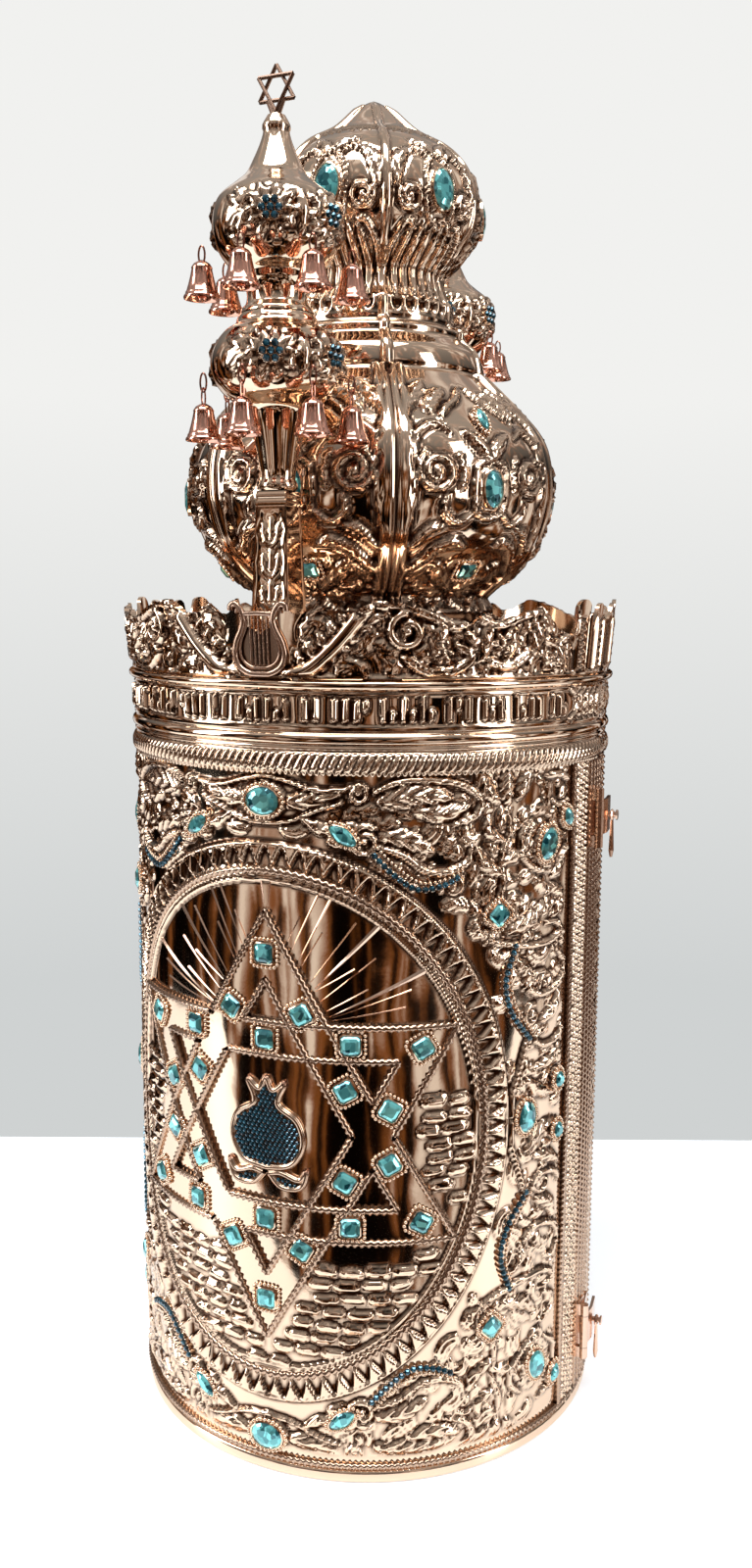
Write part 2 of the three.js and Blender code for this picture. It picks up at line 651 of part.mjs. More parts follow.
function keeper(z) {
  const seam = (Math.PI / 2) * CLASP_BASE;
  const shape = rectangle(seam + LEAF_CUT + KEEPER_W / 2, z, KEEPER_W, HASP_H + 6);
  return bent(slab(shape, KEEPER_T), CLASP_BASE);
}

// Ring and rod that hang from the knob's neck.
function pull(z) {
  const face = HASP_R + HASP_T;
  const tip = CASE_R + HINGE_OUT + KNUCKLE_R;
  const [x, y] = onRadius((face + tip - KNOB_HEAD_T - KNOB_EDGE) / 2, KNOB_AZIMUTH);
  const hang = z - (PULL_RING_R - PULL_RING_T - KNOB_NECK_R - FIT_GAP);
  const loop = new THREE.TorusGeometry(PULL_RING_R, PULL_RING_T, 4, 8).rotateY(Math.PI / 2);
  const end = -PULL_RING_R - PULL_L;
  const rod = [[PULL_RING_T, end], [PULL_DROP_R, end + PULL_DROP_L], [PULL_NECK_R, -PULL_RING_R]];
  return solid(loop).add(solid(turned(rod, 6))).translate([x, y, hang]);
}

['back', 'front'].forEach((side) => {
  put(`case_shell_${side}`, caseHalf(side), roseGold);
  put(`head_band_${side}`, bandHalf(side), roseGold);
  put(`crest_${side}`, crestHalf(side), roseGold);
  put(`crown_${side}`, crownHalf(side), roseGold);
  crownStones(side);
  finial(side);
  HINGE_Z.forEach((z, i) => put(`hinge_leaf_${side}_${i + 1}`, hingeLeaf(side, z), darkGold));
});
HINGE_Z.forEach((z, i) => put(`hinge_pin_${i + 1}`, hingePin(z), darkGold));
CLASP_Z.forEach((z, i) => {
  put(`clasp_plate_${i + 1}`, claspPlate(z), darkGold);
  put(`clasp_hasp_${i + 1}`, hasp(z), darkGold);
  put(`clasp_keeper_${i + 1}`, keeper(z), darkGold);
  put(`clasp_pull_${i + 1}`, pull(z), darkGold);
});

export default model;
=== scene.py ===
"""Standing torah case of rose-gold plated metal with an onion crown and two bell finials.

Sizes are millimetres until they become mesh points, which are metres. Azimuth 0 is the middle of
the front half (-Y), and 90 is the seam with the clasps (+X).
"""
import logging
import math
from dataclasses import dataclass, field
from enum import Enum
from functools import partial
from itertools import product
from typing import Callable, Optional, Sequence

import bpy
import numpy as np
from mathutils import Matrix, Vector


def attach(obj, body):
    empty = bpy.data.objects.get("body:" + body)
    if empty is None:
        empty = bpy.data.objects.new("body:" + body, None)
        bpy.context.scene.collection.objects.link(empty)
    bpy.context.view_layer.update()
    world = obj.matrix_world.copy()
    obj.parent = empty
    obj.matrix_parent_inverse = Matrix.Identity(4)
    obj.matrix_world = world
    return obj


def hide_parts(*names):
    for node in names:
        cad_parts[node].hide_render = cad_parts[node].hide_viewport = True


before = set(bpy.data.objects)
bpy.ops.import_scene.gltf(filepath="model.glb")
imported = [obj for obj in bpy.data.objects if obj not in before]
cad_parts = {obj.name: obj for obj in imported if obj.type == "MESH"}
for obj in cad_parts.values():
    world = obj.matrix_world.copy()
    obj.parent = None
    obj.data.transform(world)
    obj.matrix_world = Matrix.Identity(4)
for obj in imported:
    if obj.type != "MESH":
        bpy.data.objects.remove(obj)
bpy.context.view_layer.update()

LOG = logging.getLogger("torah_case")
MM = 0.001
SEAM_AZIMUTH = 89.89  # Half walls end this close to the seam, so that they never touch
Path = np.ndarray


class Side(Enum):
    """The two halves of the case."""

    FRONT = "front"
    BACK = "back"

    @property
    def body(self) -> str:
        """Name of the body that the half rides with."""
        return f"{self.value}_half"

    @property
    def turn(self) -> float:
        """Degrees that work drawn at the front is turned by to face this side."""
        return 0.0 if self is Side.FRONT else 180.0


def linear(colour: str) -> tuple[float, float, float, float]:
    """Turn an sRGB hex colour into the linear values that a shader takes.

    Args:
        colour: Six hex digits after a hash sign.

    Returns:
        Linear red, green, blue and an alpha of one.
    """
    parts = [int(colour[i:i + 2], 16) / 255 for i in (1, 3, 5)]
    parts = [c / 12.92 if c <= 0.04045 else ((c + 0.055) / 1.055) ** 2.4 for c in parts]
    return (*parts, 1.0)


def add(tree: bpy.types.NodeTree, kind: str, values: Optional[dict] = None,
        links: Optional[dict] = None, **settings: object) -> bpy.types.Node:
    """Add a node to a tree with its values, links and settings.

    Args:
        tree: The tree that takes the node.
        kind: Blender's type name of the node.
        values: Constants by input name or index.
        links: Sockets that feed the inputs, by input name or index.
        **settings: Attributes of the node itself.

    Returns:
        The new node.
    """
    node = tree.nodes.new(kind)
    for name, value in settings.items():
        setattr(node, name, value)
    for name, value in (values or {}).items():
        node.inputs[name].default_value = value
    for name, socket in (links or {}).items():
        tree.links.new(socket, node.inputs[name])
    return node


# Finishes


# Name of the point attribute that holds each vertex's share of painted shade.
SHADE_ATTRIBUTE = "painted_shade_share"


@dataclass(frozen=True)
class PlatedMetal:
    """Rose-gold electroplate over embossed or spun sheet, polished to a mirror.

    The eye gets a copper-pink mirror with slightly wavy reflections where the sheet was worked.
    Hollows and creases get painted shade: a dark colour and a duller finish mixed in there.
    """

    name: str
    colour: str = "#ECD0B6"
    # The painted shade colour for hollows and creases.
    painted_shade_colour: str = "#3E200F"
    roughness: float = 0.07
    dull: float = 0.24
    wave_mm: float = 60.0
    wave_depth_mm: float = 1.7
    grain_mm: float = 2.6
    grain_depth_mm: float = 0.008
    # Pointiness range over which the painted shade fades out.
    painted_shade_from: float = 0.36
    painted_shade_to: float = 0.47
    cloud: str = "#E0BB9C"
    cloud_mm: float = 55.0
    cloud_share: float = 0.18

    def make(self) -> bpy.types.Material:
        """Build the material.

        Returns:
            The finished material.
        """
        material = bpy.data.materials.new(self.name)
        material.use_nodes = True
        tree = material.node_tree
        tree.nodes.clear()
        place = add(tree, "ShaderNodeTexCoord").outputs["Object"]
        point = add(tree, "ShaderNodeNewGeometry").outputs["Pointiness"]
        # Painted shade: low pointiness and the stored shade share pull the colour towards the dark
        # shade colour and the finish towards dull.
        pointiness_unshaded = add(tree, "ShaderNodeMapRange",
                   {"From Min": self.painted_shade_from, "From Max": self.painted_shade_to}, {"Value": point})
        painted_shade_share = add(tree, "ShaderNodeAttribute", attribute_name=SHADE_ATTRIBUTE)
        high = add(tree, "ShaderNodeMath",
                   links={0: pointiness_unshaded.outputs["Result"], 1: painted_shade_share.outputs["Fac"]},
                   operation="SUBTRACT", use_clamp=True)
        cloud = add(tree, "ShaderNodeTexNoise", {"Scale": 1 / (self.cloud_mm * MM), "Detail": 3.0},
                    {"Vector": place})
        tone = add(tree, "ShaderNodeMix", {"A": linear(self.painted_shade_colour), "B": linear(self.colour)},
                   {"Factor": high.outputs["Value"]}, data_type="RGBA")
        share = add(tree, "ShaderNodeMapRange", {"To Max": self.cloud_share},
                    {"Value": cloud.outputs["Fac"]})
        warm = add(tree, "ShaderNodeMix", {"B": linear(self.cloud)},
                   {"Factor": share.outputs["Result"], "A": tone.outputs["Result"]},
                   data_type="RGBA", blend_type="MULTIPLY")
        rough = add(tree, "ShaderNodeMapRange", {"To Min": self.dull, "To Max": self.roughness},
                    {"Value": high.outputs["Value"]})
        wave = add(tree, "ShaderNodeTexNoise", {"Scale": 1 / (self.wave_mm * MM), "Detail": 1.5},
                   {"Vector": place})
        grain = add(tree, "ShaderNodeTexNoise", {"Scale": 1 / (self.grain_mm * MM), "Detail": 2.0},
                    {"Vector": place})
        broad = add(tree, "ShaderNodeBump", {"Strength": 1.0, "Distance": self.wave_depth_mm * MM},
                    {"Height": wave.outputs["Fac"]})
        fine = add(tree, "ShaderNodeBump", {"Strength": 1.0, "Distance": self.grain_depth_mm * MM},
                   {"Height": grain.outputs["Fac"], "Normal": broad.outputs["Normal"]})
        shader = add(tree, "ShaderNodeBsdfPrincipled", {"Metallic": 1.0},
                     {"Base Color": warm.outputs["Result"], "Roughness": rough.outputs["Result"],
                      "Normal": fine.outputs["Normal"]})
        add(tree, "ShaderNodeOutputMaterial", links={"Surface": shader.outputs["BSDF"]})
        return material


@dataclass(frozen=True)
class CutGlass:
    """Foil-backed cut glass stone: moulded, tumbled bright and set over a silvered back.

    The eye gets a clear green-blue. Its facet flashes are painted: each cell of a random pattern is
    coloured from bottle green to pale, as painted glints and dark facets.
    """

    name: str
    bright: str = "#86ECEC"
    deep: str = "#08525E"
    cell_mm: float = 3.6

    def make(self) -> bpy.types.Material:
        """Build the material.

        Returns:
            The finished material.
        """
        material = bpy.data.materials.new(self.name)
        material.use_nodes = True
        tree = material.node_tree
        tree.nodes.clear()
        place = add(tree, "ShaderNodeTexCoord").outputs["Object"]
        cells = add(tree, "ShaderNodeTexVoronoi", {"Scale": 1 / (self.cell_mm * MM)},
                    {"Vector": place})
        # Painted glints: each Voronoi cell gets a random colour between deep and pale.
        painted_glint = add(tree, "ShaderNodeSeparateColor", links={"Color": cells.outputs["Color"]})
        tone = add(tree, "ShaderNodeMix", {"A": linear(self.deep), "B": linear(self.bright)},
                   {"Factor": painted_glint.outputs["Red"]}, data_type="RGBA")
        shader = add(tree, "ShaderNodeBsdfPrincipled",
                     {"Metallic": 0.6, "Roughness": 0.04, "IOR": 1.56, "Coat Weight": 1.0,
                      "Coat Roughness": 0.02},
                     {"Base Color": tone.outputs["Result"]})
        add(tree, "ShaderNodeOutputMaterial", links={"Surface": shader.outputs["BSDF"]})
        return material


PLATE = PlatedMetal("rose_gold_plate_embossed_polished")
SPUN = PlatedMetal("rose_gold_plate_spun_polished", wave_mm=60.0, wave_depth_mm=0.08)
CAST = PlatedMetal("rose_gold_fittings_cast_and_buffed", colour="#E8C6AF", roughness=0.16,
                   dull=0.3, wave_mm=9.0, wave_depth_mm=0.05, grain_mm=1.4,
                   grain_depth_mm=0.015)
WIRE = PlatedMetal("rose_gold_wire_drawn_and_plated", painted_shade_colour="#704636", roughness=0.13, dull=0.2,
                   wave_mm=8.0, wave_depth_mm=0.02)
COPPER = PlatedMetal("copper_bells_spun_polished", colour="#E5AE99", painted_shade_colour="#8A4A38",
                     roughness=0.12, wave_mm=14.0, wave_depth_mm=0.05)
TEAL = CutGlass("teal_glass_cut_foil_backed")
PAVE = CutGlass("dark_teal_glass_chatons", bright="#22687E", deep="#02141D", cell_mm=1.8)


# Drawing relief


def bend(start: Sequence[float], heading: float, length: float, turns: Sequence[float],
         points: int = 18) -> Path:
    """Walk a smooth curve whose curvature changes evenly along it.

    Args:
        start: Where the walk begins, across and up, in mm.
        heading: First direction in degrees, with 90 as up.
        length: Length of the curve in mm.
        turns: Degrees turned per mm, spread evenly along the walk.
        points: Number of points in the path.

    Returns:
        The path, one point a row.
    """
    along = np.linspace(0, 1, points)
    rate = np.interp(along, np.linspace(0, 1, len(turns)), turns)
    step = length / (points - 1)
    turned = np.cumsum((rate[1:] + rate[:-1]) / 2 * step)
    angle = np.radians(heading + np.concatenate([[0], turned]))
    moves = np.stack([np.cos(angle), np.sin(angle)], 1) * step
    walk = np.concatenate([[[0, 0]], np.cumsum((moves[1:] + moves[:-1]) / 2, axis=0)])
    return walk + np.asarray(start, float)


def arc(middle: Sequence[float], rx: float, ry: float, start: float, sweep: float,
        points: int = 24) -> Path:
    """Points along an elliptical arc.

    Args:
        middle: Middle of the ellipse.
        rx: Half its width.
        ry: Half its height.
        start: First angle in degrees.
        sweep: Degrees that the arc covers.
        points: Number of points.

    Returns:
        The path.
    """
    angle = np.radians(start + np.linspace(0, sweep, points))
    return np.stack([middle[0] + rx * np.cos(angle), middle[1] + ry * np.sin(angle)], 1)


def smooth_path(knots: Sequence[Sequence[float]], spans: int = 8) -> Path:
    """Draw a smooth curve through a few points.

    Args:
        knots: The points that the curve passes.
        spans: Steps between two of them.

    Returns:
        The path.
    """
    k = np.asarray(knots, float)
    k = np.concatenate([[2 * k[0] - k[1]], k, [2 * k[-1] - k[-2]]])
    t = np.linspace(0, 1, spans, endpoint=False)[:, None]
    parts = [0.5 * (2 * b + (c - a) * t + (2 * a - 5 * b + 4 * c - d) * t**2
                    + (3 * b - a - 3 * c + d) * t**3)
             for a, b, c, d in zip(k[:-3], k[1:-2], k[2:-1], k[3:])]
    return np.concatenate(parts + [k[-2:-1]])


def even(path: Path, step: float) -> Path:
    """Space a path's points evenly.

    Args:
        path: The path.
        step: About how far apart the new points are.

    Returns:
        The same line with even points.
    """
    gaps = np.linalg.norm(np.diff(path, axis=0), axis=1)
    at = np.concatenate([[0], np.cumsum(gaps)])
    new = np.linspace(0, at[-1], max(2, int(round(at[-1] / step)) + 1))
    return np.stack([np.interp(new, at, path[:, i]) for i in range(path.shape[1])], 1)


def dome(x: np.ndarray) -> np.ndarray:
    """Height of a round section at shares of its half width."""
    return np.sqrt(np.clip(1 - x**2, 0, 1))


def columns(radius: float, step: float) -> np.ndarray:
    """Space the columns of a quarter of a round wall.

    Args:
        radius: Radius of the wall in mm.
        step: About how far apart they are, in mm.

    Returns:
        Distance of each column from the middle along the wall, in mm.
    """
    end = math.radians(SEAM_AZIMUTH) * radius
    return np.linspace(0, end, int(round(end / step)) + 1)


def both_ways(half: np.ndarray) -> np.ndarray:
    """Add the mirror image to numbers that start at the middle."""
    return np.concatenate([-half[:0:-1], half])


def on_wall(angle: np.ndarray, radius: np.ndarray | float, z: np.ndarray | float) -> np.ndarray:
    """Place points round the case's axis.

    Args:
        angle: Azimuth of each point in radians.
        radius: Distance from the axis in mm.
        z: Height in mm.

    Returns:
        Points in metres.
    """
    parts = np.broadcast_arrays(radius * np.sin(angle), -radius * np.cos(angle), z)
    return np.stack(parts, -1) * MM


def outward(angle: np.ndarray) -> np.ndarray:
    """Level directions away from the case's axis at azimuths in radians."""
    return np.stack([np.sin(angle), -np.cos(angle), 0 * angle], -1)


@dataclass
class Near:
    """What a brush knows about the cells near its path."""

    block: tuple[slice, slice]
    distance: np.ndarray
    hand: np.ndarray
    along: np.ndarray


class Relief:
    """Heights in mm, drawn on a wall laid flat: u runs across it and v up it."""

    def __init__(self, u: np.ndarray, v: np.ndarray) -> None:
        """Start a smooth sheet.

        Args:
            u: Place across of each cell, in mm.
            v: Place up the wall of each row, in mm.
        """
        self.u = u
        self.v = np.broadcast_to(v[:, None], u.shape)
        self.rows = v
        self.h = np.zeros(u.shape)

    def block(self, low: Sequence[float],
              high: Sequence[float]) -> Optional[tuple[slice, slice]]:
        """Find the cells of a rectangle.

        Args:
            low: Its lowest u and v.
            high: Its highest u and v.

        Returns:
            Row and column slices, or None where the sheet has no such cells.
        """
        r0, r1 = np.searchsorted(self.rows, [low[1], high[1]])
        if r1 - r0 < 2:
            return None
        u = self.u[r0:r1]
        inside = np.nonzero(((u > low[0]) & (u < high[0])).any(axis=0))[0]
        if len(inside) < 2:
            return None
        return slice(r0, r1), slice(inside[0], inside[-1] + 1)

    def near(self, path: Path, reach: float) -> Optional[Near]:
        """Measure the cells near a path.

        Args:
            path: The path.
            reach: How far from it cells count.

        Returns:
            Their distances, or None where there are none.
        """
        block = self.block(path.min(axis=0) - reach, path.max(axis=0) + reach)
        if block is None:
            return None
        u, v = self.u[block], self.v[block]
        best = np.full(u.shape, 1e9)
        hand = np.zeros(u.shape)
        along = np.zeros(u.shape)
        done = 0.0
        for a, b in zip(path[:-1], path[1:]):
            du, dv = b - a
            span = math.hypot(du, dv) or 1e-9
            k = np.clip(((u - a[0]) * du + (v - a[1]) * dv) / span**2, 0, 1)
            eu, ev = u - a[0] - k * du, v - a[1] - k * dv
            d2 = eu * eu + ev * ev
            closer = d2 < best
            best = np.where(closer, d2, best)
            hand = np.where(closer, np.sign(du * ev - dv * eu), hand)
            along = np.where(closer, done + k * span, along)
            done += span
        return Near(block, np.sqrt(best), hand, along / done)

    def lay(self, near: Near, edge: np.ndarray, shape: np.ndarray, moat: float = 0.7,
            moat_mm: float = 1.2, base: float = 0.0) -> None:
        """Lay a raised form over what is there, with a chased line round it.

        Args:
            near: The cells and their distances.
            edge: Half width of the form at each cell.
            shape: Height of the form at each cell.
            moat: Depth of the chased line in mm.
            moat_mm: Width of the chased line.
            base: Height that the form stands on.
        """
        h = self.h[near.block]
        out = near.distance - edge
        ditch = moat * np.exp(-(np.maximum(out, 0) / moat_mm) ** 2)
        self.h[near.block] = np.where(out > 0, h - ditch * (out < 2.5 * moat_mm),
                                      np.maximum(base + shape, h * 0.25))

    def rib(self, path: Path, width: float, height: float, strands: int = 1,
            ends: tuple[float, float] = (0.35, 0.35), moat: float = 0.7,
            base: float = 0.0) -> None:
        """Raise a rounded rib along a path.

        Args:
            path: The path.
            width: Full width in mm.
            height: Height in mm.
            strands: Parallel strands that the rib is split into.
            ends: Width left at the start and the end, as shares.
            moat: Depth of the chased line beside it.
            base: Height that it stands on.
        """
        near = self.near(path, width / 2 + 3)
        if near is None:
            return
        t = near.along
        taper = np.minimum(1, np.minimum(ends[0] + 3.5 * t, ends[1] + 3.5 * (1 - t)))
        edge = width / 2 * taper
        x = near.distance / np.maximum(edge, 1e-6)
        body = dome(x)
        if strands > 1:
            across = (x * near.hand + 1) / 2
            body *= 0.42 + 0.58 * np.abs(np.sin(np.pi * strands * across)) ** 0.8
        self.lay(near, edge, height * (0.5 + 0.5 * taper) * body, moat, base=base)

    def leaf(self, path: Path, width: float, height: float, lobes: int = 6,
             base: float = 0.0) -> None:
        """Raise an acanthus leaf with feathered strands along a path, foot to tip.

        Args:
            path: The leaf's middle line.
            width: Full width in mm.
            height: Height in mm.
            lobes: Lobes on each side.
            base: Height that it stands on.
        """
        near = self.near(path, width / 2 + 3)
        if near is None:
            return
        t = near.along
        body = np.sin(np.pi * np.clip(0.12 + 0.88 * t, 0, 1)) ** 0.6
        full = np.maximum(width / 2 * body, 0.01)
        veins = 0.6 * lobes * t - (0.5 + 0.08 * width) * np.minimum(near.distance / full, 1)
        notch = 0.8 + 0.2 * np.abs(np.cos(np.pi * (veins + 0.1)))
        edge = np.maximum(full * notch, 0.01)
        x = near.distance / edge
        strand = np.abs(np.cos(np.pi * veins)) ** 0.7
        crown = np.clip(1 - x**2, 0, 1) ** 0.5
        cut = 0.6 if width > 12 else 0.45
        shape = height * crown * (1 - cut + cut * strand)
        shape = shape + 0.25 * height * np.exp(-(x / 0.16) ** 2)
        self.lay(near, edge, shape * (0.6 + 0.4 * body), base=base)

    def boss(self, middle: Sequence[float], rx: float, ry: float, height: float, turn: float = 0.0,
             power: float = 0.5, moat: float = 0.4, base: float = 0.0) -> None:
        """Raise a domed oval.

        Args:
            middle: Its middle.
            rx: Half its width.
            ry: Half its height.
            height: Height in mm.
            turn: Degrees that it is turned by.
            power: Fullness of its dome; low is flat-topped.
            moat: Depth of the chased line round it.
            base: Height that it stands on.
        """
        reach = max(rx, ry) + 3
        block = self.block(np.asarray(middle) - reach, np.asarray(middle) + reach)
        if block is None:
            return
        u, v = self.u[block] - middle[0], self.v[block] - middle[1]
        c, s = math.cos(math.radians(turn)), math.sin(math.radians(turn))
        q = np.hypot((u * c + v * s) / rx, (v * c - u * s) / ry)
        near = Near(block, q * min(rx, ry), u * 0, u * 0)
        shape = height * np.clip(1 - q * q, 0, 1) ** power
        self.lay(near, np.full(q.shape, float(min(rx, ry))), shape, moat, base=base)

    def beads(self, path: Path, pitch: float, radius: float, height: float,
              base: float = 0.0) -> None:
        """Raise a row of beads along a path.

        Args:
            path: The path.
            pitch: Distance between the beads.
            radius: Radius of a bead.
            height: Height of a bead.
            base: Height that they stand on.
        """
        for place in even(path, pitch):
            self.boss(place, radius, radius, height, moat=0.2, base=base)

    def volute(self, middle: Sequence[float], radius: float, start: float, hand: int, width: float,
               height: float, strands: int = 2, turns: float = 1.4, base: float = 0.0) -> None:
        """Raise a spiral that winds in to an eye.

        Args:
            middle: The eye.
            radius: Outer radius.
            start: Angle in degrees where it starts.
            hand: 1 to wind anticlockwise, -1 to wind clockwise.
            width: Width of the rib.
            height: Height of the rib.
            strands: Strands in the rib.
            turns: How many times it winds.
            base: Height that it stands on.
        """
        t = np.linspace(0, 1, int(14 * turns) + 8)
        angle = np.radians(start + hand * 360 * turns * t)
        r = radius * (1 - t) ** 0.75 + 0.18 * radius * t
        path = np.stack([middle[0] + r * np.cos(angle), middle[1] + r * np.sin(angle)], 1)
        self.rib(path, width, height, strands, (1.0, 0.5), base=base)
        self.boss(middle, 0.26 * radius, 0.26 * radius, height * 1.15, base=base)

    def rosette(self, middle: Sequence[float], radius: float, petals: int,
                height: float) -> None:
        """Raise a flower with a round eye.

        Args:
            middle: Its middle.
            radius: Its radius.
            petals: Number of petals.
            height: Height of the petals.
        """
        for k in range(petals):
            angle = 2 * math.pi * k / petals
            place = (middle[0] + 0.58 * radius * math.cos(angle),
                     middle[1] + 0.58 * radius * math.sin(angle))
            self.boss(place, 0.44 * radius, 0.26 * radius, height, math.degrees(angle), moat=0.25)
        self.boss(middle, 0.3 * radius, 0.3 * radius, height * 1.3)

    def forms(self, table: Sequence[tuple],
              place: Callable[[float, float], tuple[float, float]]) -> None:
        """Raise the leaves and ribs of a table.

        Args:
            table: Knots, width, height and lobes or strands of each form. A rib's row goes on
                with the width left at its two ends.
            place: Carries a knot to the wall's own mm.
        """
        for knots, width, height, parts, *ends in table:
            path = smooth_path([place(*knot) for knot in knots])
            if ends:
                self.rib(path, width, height, parts, tuple(ends))
            else:
                self.leaf(path, width, height, parts)

    def level(self, v: float, end: float, width: float, height: float) -> None:
        """Raise a plain level rib.

        Args:
            v: How far up the wall it runs.
            end: How far across it reaches.
            width: Its width.
            height: Its height.
        """
        self.rib(np.array([[0, v], [end, v]], float), width, height, 1, (1, 1), 0)

    def mirrored(self) -> np.ndarray:
        """Heights of the whole wall, from the drawn half and its mirror image."""
        return np.concatenate([self.h[:, :0:-1], self.h], axis=1)


def painted_shade_shares(lift: np.ndarray, reach: int = 2, deep: float = 0.75) -> np.ndarray:
    """How far each cell lies below the cells round it, which is painted as shade, darker and
    duller.

    Args:
        lift: Heights of the relief in mm.
        reach: Cells to each side that count.
        deep: Depth in mm that counts as a full hollow.

    Returns:
        Shares from 0 to 1.
    """
    mean = lift
    for axis in (0, 1):
        pad = [(reach, reach) if k == axis else (0, 0) for k in range(2)]
        wide = np.pad(mean, pad, mode="edge")
        count = mean.shape[axis]
        window = 2 * reach + 1
        mean = sum(np.take(wide, range(k, k + count), axis) for k in range(window)) / window
    return np.clip((mean - lift) / deep, 0, 1)


def store_painted_shade(piece: bpy.types.Object, shares: np.ndarray) -> None:
    """Store the painted shade shares on a piece's first vertices.

    Args:
        piece: The piece.
        shares: Share of each vertex, in order.
    """
    values = np.zeros(len(piece.data.vertices), np.float32)
    values[:shares.size] = shares.ravel()
    piece.data.attributes.new(SHADE_ATTRIBUTE, "FLOAT", "POINT").data.foreach_set("value", values)


class Turned:
    """A turned wall with even rows along its profile."""

    def __init__(self, profile: Path, step: float) -> None:
        """Space the rows.

        Args:
            profile: Radius and height of each profile point, in mm.
            step: Distance between rows, in mm.
        """
        line = even(np.asarray(profile, float), step)
        self.r, self.z = line[:, 0], line[:, 1]
        gaps = np.hypot(np.diff(self.r), np.diff(self.z))
        self.s = np.concatenate([[0], np.cumsum(gaps)])
        dr, dz = np.gradient(self.r, self.s), np.gradient(self.z, self.s)
        size = np.hypot(dr, dz)
        self.nr, self.nz = dz / size, -dr / size

    def points(self, azimuth: np.ndarray, lift: np.ndarray) -> np.ndarray:
        """Place the cells of the wall.

        Args:
            azimuth: Azimuth of each column, in degrees.
            lift: Height of relief at each cell, in mm.

        Returns:
            Points in metres, rows by columns.
        """
        a = np.radians(azimuth)[None, :]
        r = self.r[:, None] + lift * self.nr[:, None]
        z = self.z[:, None] + lift * self.nz[:, None]
        return on_wall(a, r, z)


# Meshes


